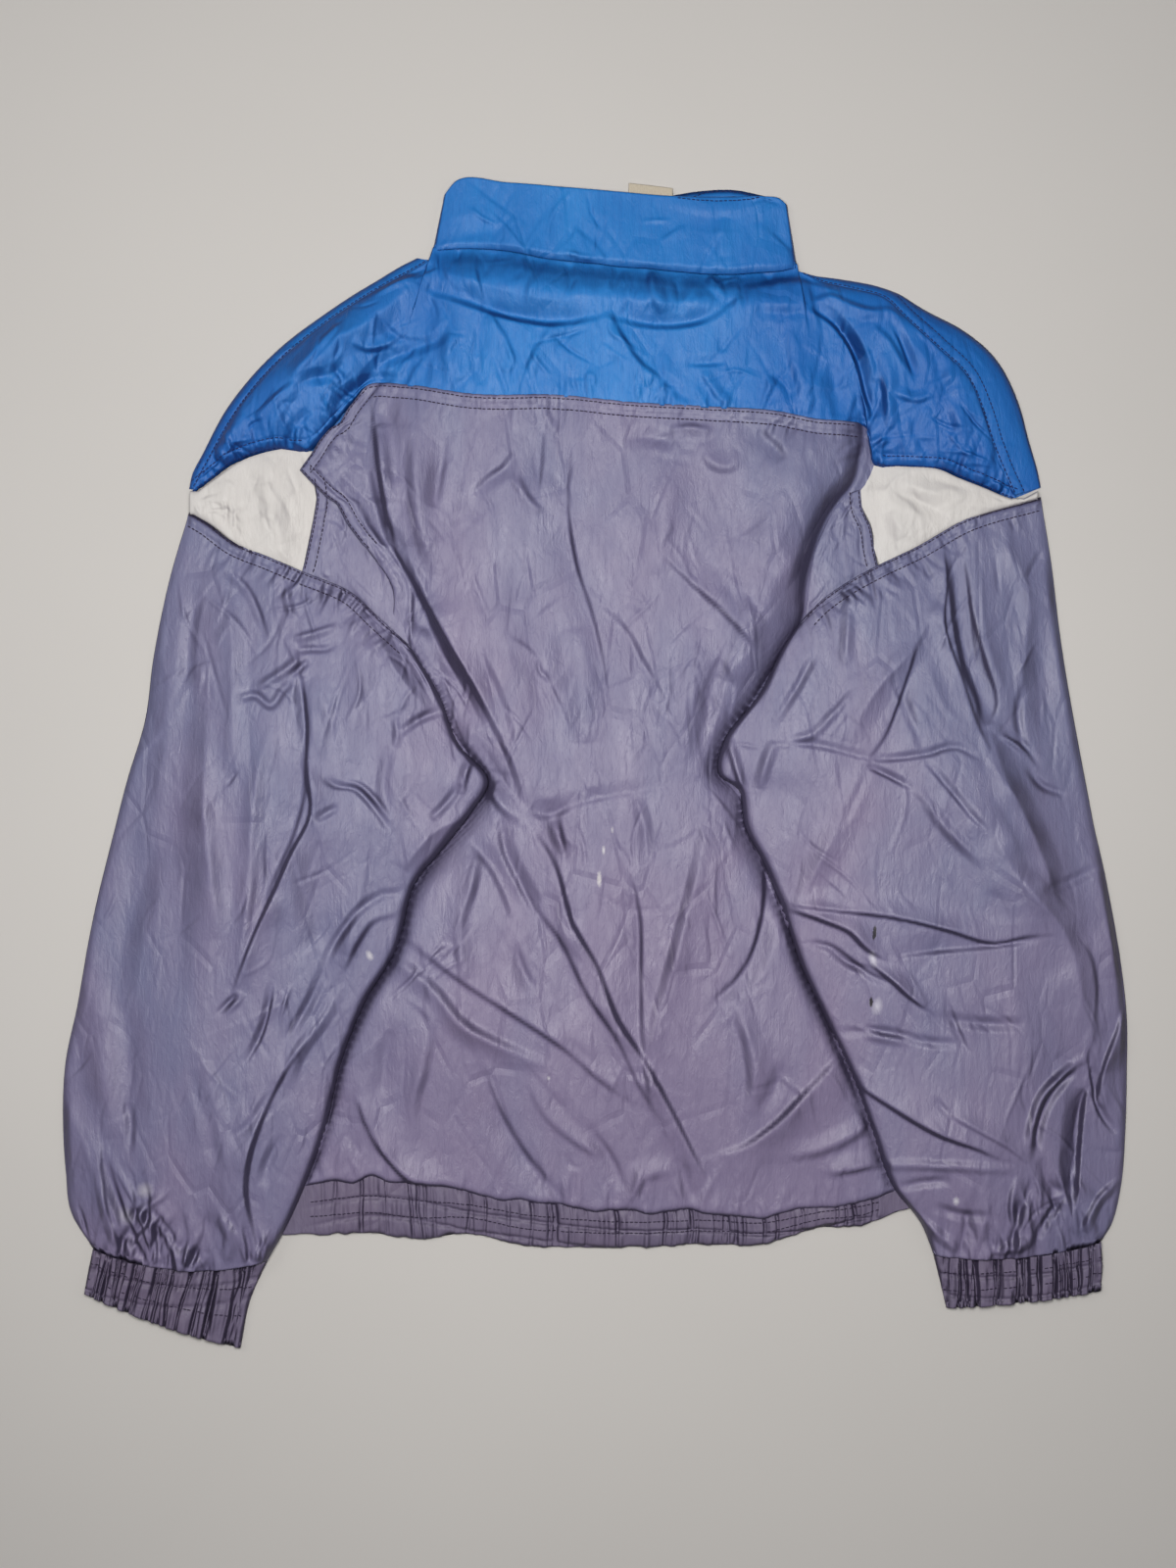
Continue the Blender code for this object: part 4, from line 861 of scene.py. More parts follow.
def gathers(seam, seed, kind, side=1):
    """Short creases that start on a seam and run off to its left (1) or to its right (-1)."""
    count, length, height, width = GATHERS[kind]
    rng = np.random.default_rng(seed)
    run = np.gradient(seam, axis=0)
    rows = []
    for k in rng.integers(len(seam), size=count):
        angle = math.atan2(run[k, 1], run[k, 0]) + side * math.pi / 2 + rng.normal(0, 0.2)
        away = np.array((math.cos(angle), math.sin(angle)))
        reach = rng.uniform(*length)
        bend = rng.normal(0, 0.08) * reach * np.array((-away[1], away[0]))
        start, end = seam[k] - 6 * away, seam[k] + reach * away
        rise = rng.uniform(*height) * rng.choice((-1, 1))
        left, right = rng.uniform(*width, 2)
        rows.append((rise, left, right, 0.5, *start, *((start + end) / 2 + bend), *end))
    return rows


def strip(distance, place, seed):
    """Height of a sewn-down seam allowance at a distance from the seam, puckered along it."""
    inside = 1 - smoothstep(STRIP - 0.8, STRIP + 0.8, distance)
    pucker = PUCKER * noise(place / 2.6, distance / 14, seed)
    groove = GROOVE * np.exp(-((distance - STRIP) / 1.1) ** 2)
    return inside * (STRIP_RISE + pucker * smoothstep(0, 2, distance)) - groove


def with_height(plan, height):
    """Plan points with their height as a third number."""
    return np.concatenate([plan, height[..., None]], axis=-1)


def turned(grid, wrap=False, down=1.0):
    """The grid with its free edges turned down (or up) and in, as thick as the cloth's edge."""
    if wrap:
        middle = (grid[..., 2].max(axis=1) + grid[..., 2].min(axis=1))[:, None] / 2
        down = np.where(grid[..., 2] > middle, 1.0, -1.0)
        down = np.pad(down, ((2, 2), (0, 0)), mode="edge")
    out = np.pad(grid, ((2, 2), (0, 0) if wrap else (2, 2), (0, 0)), mode="edge")
    down = np.broadcast_to(down, out.shape[:2])
    for axis in (0,) if wrap else (0, 1):
        rows, fall = np.swapaxes(out, 0, axis), np.swapaxes(down, 0, axis)
        for edge, step in ((2, 1), (-3, -1)):
            away = rows[edge, :, :2] - rows[edge + step, :, :2]
            away = away / np.maximum(np.linalg.norm(away, axis=1), 1e-6)[:, None]
            rows[edge - step, :, :2] += EDGE_BULGE * away
            rows[edge - step, :, 2] -= 0.5 * EDGE * fall[edge - step]
            rows[edge - 2 * step, :, :2] -= TURN_IN * away
            rows[edge - 2 * step, :, 2] -= EDGE * fall[edge - 2 * step]
    return out


def piece(name, points, faces, skin, node=None):
    """One visible piece on the body, in its skin's material; it may stand in for a node."""
    data = bpy.data.meshes.new(name)
    data.from_pydata((np.asarray(points) * MM).tolist(), [], faces)
    data.shade_smooth()
    data.materials.append(skin.material)
    made = bpy.data.objects.new(name, data)
    bpy.context.scene.collection.objects.link(made)
    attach(made, "root")
    if node:
        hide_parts(node)
    return made


def cloth(name, grid, skin, node=None, wrap=False, flip=False):
    """A cloth piece from a grid of points, in place of the node that it is named after or of the one
    given; wrap joins its last column to its first."""
    rows, columns = grid.shape[:2]
    index = np.arange(rows * columns).reshape(rows, columns)
    after = np.roll(index, -1, axis=1) if wrap else index[:, 1:]
    here = index if wrap else index[:, :-1]
    corners = (here[:-1], after[:-1], after[1:], here[1:])
    faces = np.stack(corners[::-1] if flip else corners, axis=-1).reshape(-1, 4)
    return piece(name, grid.reshape(-1, 3), faces.tolist(), skin, node or name.removesuffix("_cloth"))


def places(count, width):
    """Places across a flattened tube, from 0 to 1, closer together at its folded edges."""
    near, inside = np.array(TUBE_EDGE) / width, TUBE_INSIDE / width
    middle = np.linspace(inside, 1 - inside, count - 2 * len(near))
    return np.concatenate([near, middle, 1 - near[::-1]])


def pressed(table, rows, columns):
    """A tube pressed flat: its rows, its places across from 0 to 1, its plan and its mean width."""
    table = through(table, rows)
    width = np.linalg.norm(table[:, 2:4] - table[:, 0:2], axis=1).mean()
    s = places(columns, width)
    return table, s, lines(table[:, 0:2], table[:, 2:4], s, table[:, 4]), width


def tube(name, plan, base, top, under, under_count, skin, node=None, flip=True):
    """A flattened tube: its upper layer, then its lower layer back from the last edge."""
    count = plan.shape[1]
    low = np.unique(np.linspace(2, count - 3, under_count).astype(int))[::-1]
    edge = base + FLAT / 2
    height = np.concatenate([edge[:, :1], top[:, 1:-1], edge[:, -1:], base[:, low]], axis=1)
    grid = with_height(np.concatenate([plan, under[:, low]], axis=1), height)
    cloth(name, turned(grid, wrap=True), skin, node, wrap=True, flip=flip)


# ---------------------------------------------------------------- body

def make_collar():
    """Stand collar pressed flat: the back above, the two fronts below it; returns its foot."""
    table = through(COLLAR, 190)
    v = np.linspace(0, 1, 40)[:, None, None]
    plan = table[None, :, 0:2] * (1 - v) + table[None, :, 2:4] * v
    v = v[..., 0]
    under = plan.copy()
    under[..., 1] += table[None, :, 4] * v**3
    across, down = grid_lengths(plan)
    inward = across[:, -1:] - across
    side = dome(across / across[:, -1:], 8)
    rise = (COLLAR_OPEN + (COLLAR_PUFF - COLLAR_OPEN) * (1 - v) ** 1.5) * side
    roll = smoothstep(0, 0.07, v) * 0.35 + 0.65
    fold = crease_height(plan, COLLAR_CREASES) + crease_height(plan, wrinkles(plan, 71, "collar"))
    fold += crumple(across, down, 72, 0.5)
    top = FLAT + rise * roll + fold * smoothstep(0, 6, across) * smoothstep(0, 6, inward)
    plan[..., 1] -= 1.6 * (1 - v) ** 6 * side       # the foot sags, and it is a little uneven
    plan[..., 1] += 0.8 * noise(across / 22, 0 * across, 73) * (1 - v) ** 2 * side
    tube("collar_cloth", plan, np.zeros(plan.shape[:2]), top, under, 30, blue)
    return table[:, 0:2]


def make_yoke(collar_foot):
    """Back yoke with the backs of both shoulders; returns its upper and lower edges."""
    table = through(YOKE, 500)
    under_collar = (table[:, 0] > collar_foot[0, 0]) & (table[:, 0] < collar_foot[-1, 0])
    neck = along(collar_foot, table[:, 0]) + 2.0
    table[:, 1] = np.where(under_collar, neck, table[:, 1])
    s = np.linspace(0, 1, 96)
    plan = lines(table[:, 0:2], table[:, 2:4], s)
    shared = back_rise(table[:, 2:3])
    puff = np.maximum(table[:, 5:6], shared)
    top = FLAT + table[:, 4:5] * (1 - s) ** 2 + shared * smoothstep(0, 0.3, s)
    top = top + (puff - shared) * dome(s, 2)
    neck_roll = 2.0 * under_collar[:, None] * smoothstep(0.04, 0.16, s) * (1 - smoothstep(0.2, 0.5, s))
    across = lengths(plan)
    fade = edge_fade(plan)
    top = top + (YOKE_FOLDS * crease_height(plan, YOKE_CREASES, YOKE_NARROW) + neck_roll) * fade
    small = wrinkles(plan, 11, "yoke") + gathers(table[:, 2:4], 12, "yoke foot")
    small += gathers(collar_foot, 13, "yoke neck", -1)
    top = top + crease_height(plan, small) * edge_fade(plan, (1, 1, 1, 0))
    top = top + crumple(plan[..., 0], plan[..., 1], 14, 1.0) * fade
    back_seam = smoothstep(-168, -160, plan[..., 0]) * (1 - smoothstep(182, 192, plan[..., 0]))
    top = top + (1 - back_seam) * strip(across[:, -1:] - across, plan[..., 0], 15)
    cloth("yoke_cloth", turned(with_height(plan, top)), blue, "yoke_back")
    return with_height(table[:, 0:2], table[:, 4]), table[:, 2:4]


def from_edge(distance, start, gain, width, roll):
    """Factors for the height of cloth at a distance from its edge: how it gains height over a width
    from what it starts with, and how it rolls down at the edge itself."""
    return start + gain * smoothstep(0, width, distance), 1 - np.exp(-distance / roll)


def back_rise(x, left=BACK[0][1], right=BACK[0][3]):
    """Height of the cloth above the layers below it, across the upper back and along its seam."""
    gain, roll = from_edge(np.maximum(x - left, 0), *BACK_LEFT_EDGE)
    return BACK_PUFF * (gain * roll) * (1 - np.exp(-np.maximum(right - x, 0) / 10))


def back_plan(yoke_foot):
    """The rows of the back panel and its plan, from the yoke down on to the hem band."""
    table = through(BACK, BACK_ROWS)
    flap_x, flap_y = np.array(FLAP_EDGE, dtype=float)[::-1].T
    on_edge = table[:, 2] > flap_y[0]
    table[:, 0] = np.where(on_edge, np.interp(table[:, 2], flap_y, flap_x), table[:, 0])
    table[:, 1] = np.where(on_edge, table[:, 0] + FLAP_WIDTH, table[:, 1])
    left, shows, y_left, under, right, y_right = (table[:, k:k + 1] for k in range(6))
    hidden = np.linspace(0, 1, BACK_HIDDEN)
    shown = np.linspace(0, 1, BACK_SHOWN)[1:-1]
    spans = (left, shows, hidden), (shows, under, shown), (under, right, hidden)
    x = np.concatenate([a * (1 - s) + b * s for a, b, s in spans], axis=1)
    share = np.clip((x - shows) / (under - shows), 0, 1)
    plan = np.stack([x, y_left * (1 - share) + y_right * share], axis=2)
    head = along(yoke_foot, plan[0, :, 0]) + LAP
    plan[:, :, 1] += (head - plan[0, :, 1]) * np.linspace(1, 0, len(plan))[:, None] ** 6
    hem = np.array(HEM)
    foot_y = np.interp(plan[-1, :, 0], hem[:, 0], hem[:, 1]) - 2
    foot_y -= 2.4 * noise(plan[-1, :, 0] / 13, 0 * plan[-1, :, 0], 21)
    stretch = np.clip(1 - np.arange(BACK_ROWS)[::-1] / FOOT_ROWS, 0, 1)[:, None]
    plan[:, :, 1] += (foot_y - plan[-1, :, 1]) * stretch
    return table, plan


def from_sleeves(x, y):
    """Distance from the inner edges of the sleeves, and 0 below the sleeves."""
    inner = [through(sleeve, 90)[:, 2:4] for sleeve in (SLEEVE_LEFT, SLEEVE_RIGHT)]
    away = np.min([np.hypot(x - a, y - b) for a, b in np.vstack(inner)], axis=0)
    low_x, high_x = (np.interp(y, side[::-1, 1], side[::-1, 0]) for side in inner)
    return np.where((x > low_x) & (x < high_x), away, 0)


def make_back(yoke_foot):
    """Back panel: it puffs up between the sleeves, goes a little way under them, and its left edge
    is a flap over the underarm insert; returns its plan."""
    table, plan = back_plan(yoke_foot)
    x, y = plan[..., 0], plan[..., 1]
    shows, under = table[:, 1:2], table[:, 3:4]
    down = grid_lengths(plan)[1]
    foot = np.sqrt(1 - (1 - np.clip((down[-1:] - down) / HEM_ROLL, 0, 1)) ** 2)
    flap_width = x - table[:, 0:1]
    flap = table[:, 6:7] * np.interp(flap_width, *FLAP_PROFILE)
    edge_width = 3.5 + 5.5 * smoothstep(-120, -50, y)
    beside_sleeves = BACK_PUFF * (1 - np.exp(-from_sleeves(x, y) / edge_width))
    upper = smoothstep(70, 115, y)
    rise = back_rise(x, shows, under) * upper + beside_sleeves * (1 - upper)
    rise = rise * (0.45 + 0.55 * smoothstep(0, 130, down[-1:] - down))
    sides = smoothstep(0, 8, x - shows) * smoothstep(0, 3, under - x)
    tucked = 1.3 * smoothstep(0, 5, x - under)
    top = FLAT + flap + rise * foot - tucked
    top = top + crease_height(plan, BACK_CREASES) * sides * foot
    small = wrinkles(plan, 22, "back") + gathers(yoke_foot, 23, "back head", -1)
    small += gathers(plan[-1], 24, "back foot") + gathers(plan[:FLAP_GATHERED, 0], 25, "back side")
    shown_only = smoothstep(-4, 6, x - shows) * smoothstep(0, 6, under - x)
    lively = liveliness(x / 60, y / 75, 29)
    top = top + crease_height(plan, small) * lively * np.maximum(shown_only, 0.3 * (flap > 0)) * foot
    top = top + crumple(x, y, 26, 0.8) * shown_only * foot
    top = top + strip(down, x, 27) * (down < 20)
    on_flap = (table[:, 6:7] > 0.4) * smoothstep(0, 3, down)
    top = top + on_flap * strip(flap_width, down, 28) * (flap_width < 20)
    grid = with_height(plan, np.maximum(top, FLAT - 0.1 - tucked))
    cloth("back_cloth", turned(grid), lavender, "back_panel", flip=True)
    return plan


def make_white(name, ends, skew, bends, blue_edge, sleeve_seam, creases, seed):
    """Shoulder insert: one band folded round the outer edge of the sleeve. The bends say how far its
    inner edge lies beside a straight line, from its lower to its upper end."""
    upper_x = np.linspace(*ends, 84)
    lower_x = upper_x + np.linspace(skew, 0, 84)
    near = np.array([[-4.0], [0.0], [4.0]])
    upper = np.stack([upper_x, along(blue_edge, upper_x + near).min(axis=0) + LAP], axis=1)
    lower = np.stack([lower_x, along(sleeve_seam, lower_x + near).max(axis=0) - 2], axis=1)
    plan = np.swapaxes(lines(lower, upper, np.linspace(0, 1, 52)), 0, 1)
    s = np.linspace(0, 1, plan.shape[0])[:, None]
    bends = np.array(bends)
    plan[..., 0] += np.interp(s, bends[:, 0], bends[:, 1]) * np.linspace(1, 0, plan.shape[1]) ** 2
    across = lengths(plan)
    share = across / across[:, -1:]
    puff = WHITE_PUFF * (0.15 + 0.85 * smoothstep(0, 26, across))
    top = FLAT + puff * dome(0.5 * share + 0.04, 3) * (0.6 + 0.4 * dome(s, 2))
    small = creases + wrinkles(plan, seed, "white")
    fade = edge_fade(plan, (1, 1, 1, 0)) * smoothstep(0, 10, across[:, -1:] - across)
    top += (crease_height(plan, small) + crumple(plan[..., 0], plan[..., 1], seed + 1, 0.8)) * fade
    top[:, -1] = FLAT / 2
    under = plan[:, -2::-3]
    under = with_height(under, np.zeros(under.shape[:2]))
    grid = np.concatenate([with_height(plan, top), under], axis=1)
    cloth(name, grid, white, flip=ends[0] > 0)


def make_gusset(name, table, sleeve_seam, seed):
    """Underarm insert, between the back panel's edge and the white insert; returns its plan."""
    table = through(table, 66)
    s = np.linspace(0, 1, 44)
    plan = lines(table[:, 0:2], table[:, 2:4], s)
    v = np.linspace(0, 1, len(table))[:, None]
    foot = along(sleeve_seam, plan[-1, :, 0]) - 1.5
    plan[..., 1] += (foot - plan[-1, :, 1]) * v
    across, down = grid_lengths(plan)
    top = FLAT + GUSSET_PUFF * dome(s, 2) * dome(v, 2)
    small = crease_height(plan, wrinkles(plan, seed, "gusset"))
    top += small * edge_fade(plan) + crumple(plan[..., 0], plan[..., 1], seed + 1, 0.8)
    beside_white = across if plan[0, 0, 0] < 0 else across[:, -1:] - across
    top += strip(beside_white, down, seed + 2)
    cloth(name, turned(with_height(plan, top)), lavender, flip=True)
    return plan


def make_sleeve(name, table, sleeve_seam, creases, seed):
    """Lower sleeve: one tube pressed flat, from its upper seam to the cuff."""
    table, s, plan, _ = pressed(table, 370, 196)
    shape = along(sleeve_seam, plan[0, :, 0]) - plan[0, :, 1]
    plan[..., 1] += shape * np.clip(1 - np.arange(len(table)) / SEAM_ROWS, 0, 1)[:, None]
    across, down = grid_lengths(plan)
    inward = across[:, -1:] - across
    is_left = plan[0, 0, 0] < plan[0, -1, 0]
    turn = 1 if is_left else -1
    small = wrinkles(plan, seed, "left sleeve" if is_left else "right sleeve")
    small += gathers(plan[0], seed + 1, "sleeve head", -turn)
    small += gathers(plan[-1], seed + 2, "sleeve foot", turn)
    folds = SLEEVE_FOLDS * crease_height(plan, creases, SLEEVE_NARROW)
    folds = folds + crumple(across, down, seed + 3, 0.55)
    gain, roll = from_edge(across, *SLEEVE_OUTER_EDGE)
    inner_gain, inner_roll = from_edge(inward, *SLEEVE_INNER_EDGE)
    rise = table[:, 5:6] * (gain * roll * inner_gain * inner_roll) + folds * edge_fade(plan)
    lively = liveliness(across / 50, down / 75, seed + 7)
    rise = rise + crease_height(plan, small) * lively * edge_fade(plan, (0, 0, 1, 1))
    rise = rise + strip(down, across, seed + 4) * smoothstep(0, 4, across) * smoothstep(0, 4, inward)
    under = plan.copy()
    under[0, :, 1] -= UNDER_SEAM
    base = bed(plan)
    top = base + np.maximum(FLAT * dome(s, 6) ** 0.5 + rise, FLAT / 2)
    tube(name, plan, base, top, under, 12, lavender, flip=is_left)


def make_cuff(name, table, seed):
    """Elastic cuff: a short tube pressed flat, drawn in along its sewn rows; returns its plan."""
    table, s, plan, width = pressed(table, 30, 186)
    across, down = grid_lengths(plan)
    furrows = band_gathers(across, down, width, CUFF_GATHERS, seed, CUFF_ROWS, CUFF_FURROW)
    top = np.maximum(FLAT + (CUFF_PUFF * dome(s, 6) + furrows), FLAT / 2)
    is_left = plan[0, 0, 0] < plan[0, -1, 0]
    tube(name, plan, np.zeros(plan.shape[:2]), top, plan, 16, shaded_band, flip=is_left)
    return plan


def band_gathers(place, down, width, count, seed, rows, furrow):
    """Furrows across an elastic band, uneven in spacing and depth, drawn in along its sewn rows."""
    rng = np.random.default_rng(seed)
    total = np.zeros(np.broadcast(place, down).shape)
    for at in rng.uniform(0, width, count):
        lean, wave = rng.normal(0, 0.05), rng.uniform(0.2, 0.8)
        middle = at + lean * down + wave * np.sin(down / rng.uniform(5, 9))
        depth, half = rng.uniform(*furrow), rng.uniform(0.6, 1.2)
        fade = 0.5 + 0.5 * smoothstep(-0.5, 0.5, noise(down / 12, 0 * down + at, seed + 1))
        total -= depth * fade * np.exp(-((place - middle) / half) ** 2)
    total += 1.1 * noise(place / 3.1, down / 13, seed + 2)
    for row in rows:
        total -= 1.5 * np.exp(-((down - row) / 1.2) ** 2)
    return total


def make_hem():
    """Elastic hem band: one tube pressed flat, from below one sleeve to below the other; returns its
    plan."""
    table = through(HEM, 600)
    v = np.linspace(0, 1, 34)[:, None]
    upper, lower = table[:, 1] + 4 * np.clip(table[:, 3], 0, 1), table[:, 2]
    y = upper * (1 - v) + lower * v
    plan = np.stack([np.repeat(table[None, :, 0], len(v), axis=0), y], axis=2)
    across, down = grid_lengths(plan)
    shown = np.clip(table[:, 3], 0, 1)
    furrows = band_gathers(across, down, across[0, -1], HEM_GATHERS, 31, HEM_ROWS, HEM_FURROW)
    top = FLAT + shown * np.maximum(HEM_PUFF * dome(v, 4) + furrows, -0.6)
    plan[..., 1] += 0.7 * v**4 * noise(table[:, 0] / 6, 0 * table[:, 0], 33)
    tube("hem_cloth", plan, np.zeros(plan.shape[:2]), top, plan, 40, shaded_band, "hem_band")
    return plan


def make_front_yoke(name, table, shoulder_seam, yoke_foot, insert_x, seed):
    """Shoulder and chest of one front, folded over the shoulder's edge to the seam on the back;
    returns that seam and that edge."""
    table = through(table, 150)
    seam = np.stack([table[:, 0], along(shoulder_seam, table[:, 0])], axis=1)
    lift = np.interp(table[:, 0], shoulder_seam[:, 0], shoulder_seam[:, 2])
    edge = table[:, 1:3]
    back = edge - seam
    back /= np.linalg.norm(back, axis=1)[:, None]
    seam = seam - 0.5 * back
    corner_y = along(yoke_foot, insert_x)
    rise = np.minimum(along(yoke_foot, table[:, 3]), corner_y) - CHEST_Y
    foot = CHEST_Y + 0.6 + rise * smoothstep(*ARMHOLE_X, abs(table[:, 3]))
    at_zip = np.flatnonzero(abs(table[:, 3]) < ZIP_X + ZIP_WIDTH)
    foot[at_zip] = np.linspace(NECK_Y, CHEST_Y, len(at_zip))
    inner_end = np.stack([table[:, 3], foot], axis=1)
    t = np.linspace(0, 1, 16)
    over = lines(seam, edge, t)
    profile = np.interp(t, *SHOULDER_PROFILE)
    small = crease_height(over, wrinkles(over, seed, "front_yoke"))
    distance = lengths(over)
    top = FLAT / 2 + (FLAT / 2 + lift[:, None]) * profile + small * profile * (1 - t)
    top += strip(distance, np.arange(len(table))[:, None] * 2.4, seed + 1) * (1 - t) ** 0.5
    under = lines(edge, inner_end, np.linspace(0.02, 1, 14))
    under = with_height(under, np.zeros(under.shape[:2]))
    grid = np.concatenate([with_height(over, top), under], axis=1)
    cloth(name, grid, blue, flip=insert_x < 0)
    return seam, edge


def make_front(name, column, zip_edge, seed):
    """Front panel, plain and flat on the floor, from the chest seam to the hem band. The column is
    that of its side in BODY_SIDES."""
    table = through(BODY_SIDES, 90)
    side = table[:, [column, 0]]
    middle = np.stack([np.full(len(table), zip_edge), table[:, 0]], axis=1)
    hem = np.array(HEM)
    plan = lines(side, middle, np.linspace(0, 1, 44))
    foot = np.interp(plan[-1, :, 0], hem[:, 0], hem[:, 1]) + 1.8
    drop = (plan[0, :, 1] - foot) / (plan[0, :, 1] - plan[-1, :, 1])
    plan[..., 1] = plan[:1, :, 1] - (plan[:1, :, 1] - plan[..., 1]) * drop
    creases = np.clip(crease_height(plan, wrinkles(plan, seed, "front")), 0, 0.9)
    grid = with_height(plan, creases * edge_fade(plan))
    cloth(name, turned(grid, down=-1.0), lavender, flip=column == 2)


# ---------------------------------------------------------------- small pieces

def boxes(centres, size):
    """Points and faces of many boxes of one size, all in line with the axes."""
    unit = np.array([(x, y, z) for x in (-0.5, 0.5) for y in (-0.5, 0.5) for z in (-0.5, 0.5)])
    points = (np.asarray(centres)[:, None, :] + unit[None] * size).reshape(-1, 3)
    sides = np.array(((0, 1, 3, 2), (4, 6, 7, 5), (0, 4, 5, 1), (2, 3, 7, 6), (0, 2, 6, 4),
                      (1, 5, 7, 3)))
    faces = (np.arange(len(centres))[:, None, None] * 8 + sides[None]).reshape(-1, 4)
    return points, faces.tolist()


def make_zip():
    """Closed zip on the underside: its ribbed tape and two rows of teeth."""
    left, right = ZIP_X - ZIP_WIDTH / 2, ZIP_X + ZIP_WIDTH / 2
    y = np.linspace(*ZIP_Y, 120)
    x = np.linspace(left, right, 9)
    tape = np.stack(np.meshgrid(x, y), axis=-1)
    ribs = TAPE_HEIGHT + TAPE_RIB * (np.arange(9) % 2)[None, :] + 0 * tape[..., 0]
    cloth("zip_tape", turned(with_height(tape, ribs), down=-1.0), dark, "zip")
    rows = np.arange(ZIP_Y[0] + 2, ZIP_Y[1] - 2, TOOTH_PITCH)
    teeth = [(ZIP_X + side * TOOTH_ASIDE, at + side * TOOTH_PITCH / 4, TOOTH[2] / 2)
             for at in rows for side in (-1, 1)]
    made = piece("zip_teeth", *boxes(teeth, TOOTH), dark)
    made.modifiers.new("rounding", "BEVEL").width = TOOTH_ROUNDING * MM


def make_slider():
    """Slider at the top of the zip, as two plates joined by a bridge at its upper end."""
    low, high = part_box("zip_slider")
    y0, y1 = low.y / MM, high.y / MM
    y = (y0 + y1) / 2
    parts = [((ZIP_X, y, z), (SLIDER_WIDTH, y1 - y0, thick)) for z, thick in SLIDER_PLATES]
    parts.append(((ZIP_X, y1 - BRIDGE_DOWN, BRIDGE_Z), BRIDGE))
    points, faces = [], []
    for centre, size in parts:
        more, sides = boxes([centre], size)
        faces += [[corner + len(points) for corner in side] for side in sides]
        points += more.tolist()
    made = piece("zip_slider_body", points, faces, metal, "zip_slider")
    rounding = made.modifiers.new("rounding", "BEVEL")
    rounding.width, rounding.segments = SLIDER_ROUNDING * MM, 3


def make_label():
    """Bare label of woven tape in the back of the neck; its corner stands out of the collar."""
    a, b, c, d = np.array(LABEL, dtype=float)
    u, v = np.meshgrid(np.linspace(0, 1, 30), np.linspace(0, 1, 20))
    u, v = u[..., None], v[..., None]
    plan = (a * (1 - u) + b * u) * (1 - v) + (d * (1 - u) + c * u) * v
    height = 1.75 + 0.5 * np.sin(2.2 * u[..., 0] + 0.6) * v[..., 0]
    cloth("label_tape", turned(with_height(plan, height), down=0.6), tape, "neck_label")


def surface_height(tree, x, y):
    """Height of the uppermost surface at a place in plan, if there is one."""
    hit = tree.ray_cast(Vector((x * MM, y * MM, SEW_FROM)), Vector((0, 0, -1)))[0]
    return hit.z / MM if hit else None


def sew(name, runs, skin, tree, seed):
    """Rows of stitches along plan lines, each half sunk into the cloth below it."""
    rng = np.random.default_rng(seed)
    points, faces = [], []
    for run in runs:
        path = np.asarray(run, dtype=float)
        steps = np.linalg.norm(np.diff(path, axis=0), axis=1)
        knots = np.concatenate([[0.0], np.cumsum(steps)])
        for at in np.arange(0.6, knots[-1] - STITCH_LENGTH, STITCH_PITCH):
            at = at + rng.normal(0, 0.15)
            rings = []
            for t, size in STITCH_SHAPE:
                spot = [np.interp(at + t * STITCH_LENGTH, knots, path[:, k]) for k in (0, 1)]
                z = surface_height(tree, *spot)
                if z is not None:
                    rings.append((*spot, z, size))
            heights = [ring[2] for ring in rings]
            if len(rings) < len(STITCH_SHAPE) or max(heights) - min(heights) > STITCH_STEP:
                continue
            run_x, run_y = rings[-1][0] - rings[0][0], rings[-1][1] - rings[0][1]
            side = np.array((-run_y, run_x)) / math.hypot(run_x, run_y)
            first = len(points)
            for x, y, z, size in rings:
                for across, up in STITCH_SECTION:
                    shift = across * STITCH_WIDTH * size * side
                    points.append((x + shift[0], y + shift[1], z + up * STITCH_RISE * size))
            ends = np.arange(4)
            for ring in range(3):
                a, b = first + 4 * ring + ends, first + 4 * ring + (ends + 1) % 4
                faces += np.stack([a, b, b + 4, a + 4], axis=1).tolist()
            faces += [(first + 3 - ends).tolist(), (first + 12 + ends).tolist()]
    return piece(name, points, faces, skin)


# ---------------------------------------------------------------- materials

# Nylon. The three numbers of a noise say how many of its cells a metre holds along x, y and z.
DRIFT_Y, SIDE_SHADE_X = (0.28, -0.36), (0.09, 0.24)  # where it starts and ends to grow warmer, and cooler with painted side shade
PATCHES = (9, 5, 9)         # of the two shot colours
SLUBS, SLUB_DEPTH = (300, 14, 40), 0.16     # and how much of the deep colour they take
THREADS, THREAD_DEPTH = (1500, 110, 200), 0.22
SHADE_SLOPE = (0.975, 0.66)     # upward part of the normal where the painted shade of slopes starts and is full
SHADE_DEPTH = 0.85
SHINE, SHINE_LOW, SHINE_HIGH = (60, 24, 60), -0.06, 0.07    # change of roughness in patches
WEAVE = 420.0               # 1340 threads in a metre
SPOT_SHIFT = 0.8            # mean shift of a spot by the noise that roughens its edge
SPOT_NOISE = 700.0
# Crinkles: their noise with its turn, detail, roughness and distortion; height in metres, strength
CRINKLES = ((((900, 60, 300), 0.0, 3.0, 0.6, 0.0), 0.00022, 0.7),
            (((230, 85, 200), 0.12, 4.0, 0.62, 0.6), 0.0009, 0.8))
CREASED = ((34, 16, 34), 0.3, 0.07)     # straight creases: cells, turn, width
WEAVE_HEIGHT, CREASED_HEIGHT = 0.00005, -0.0006     # in metres


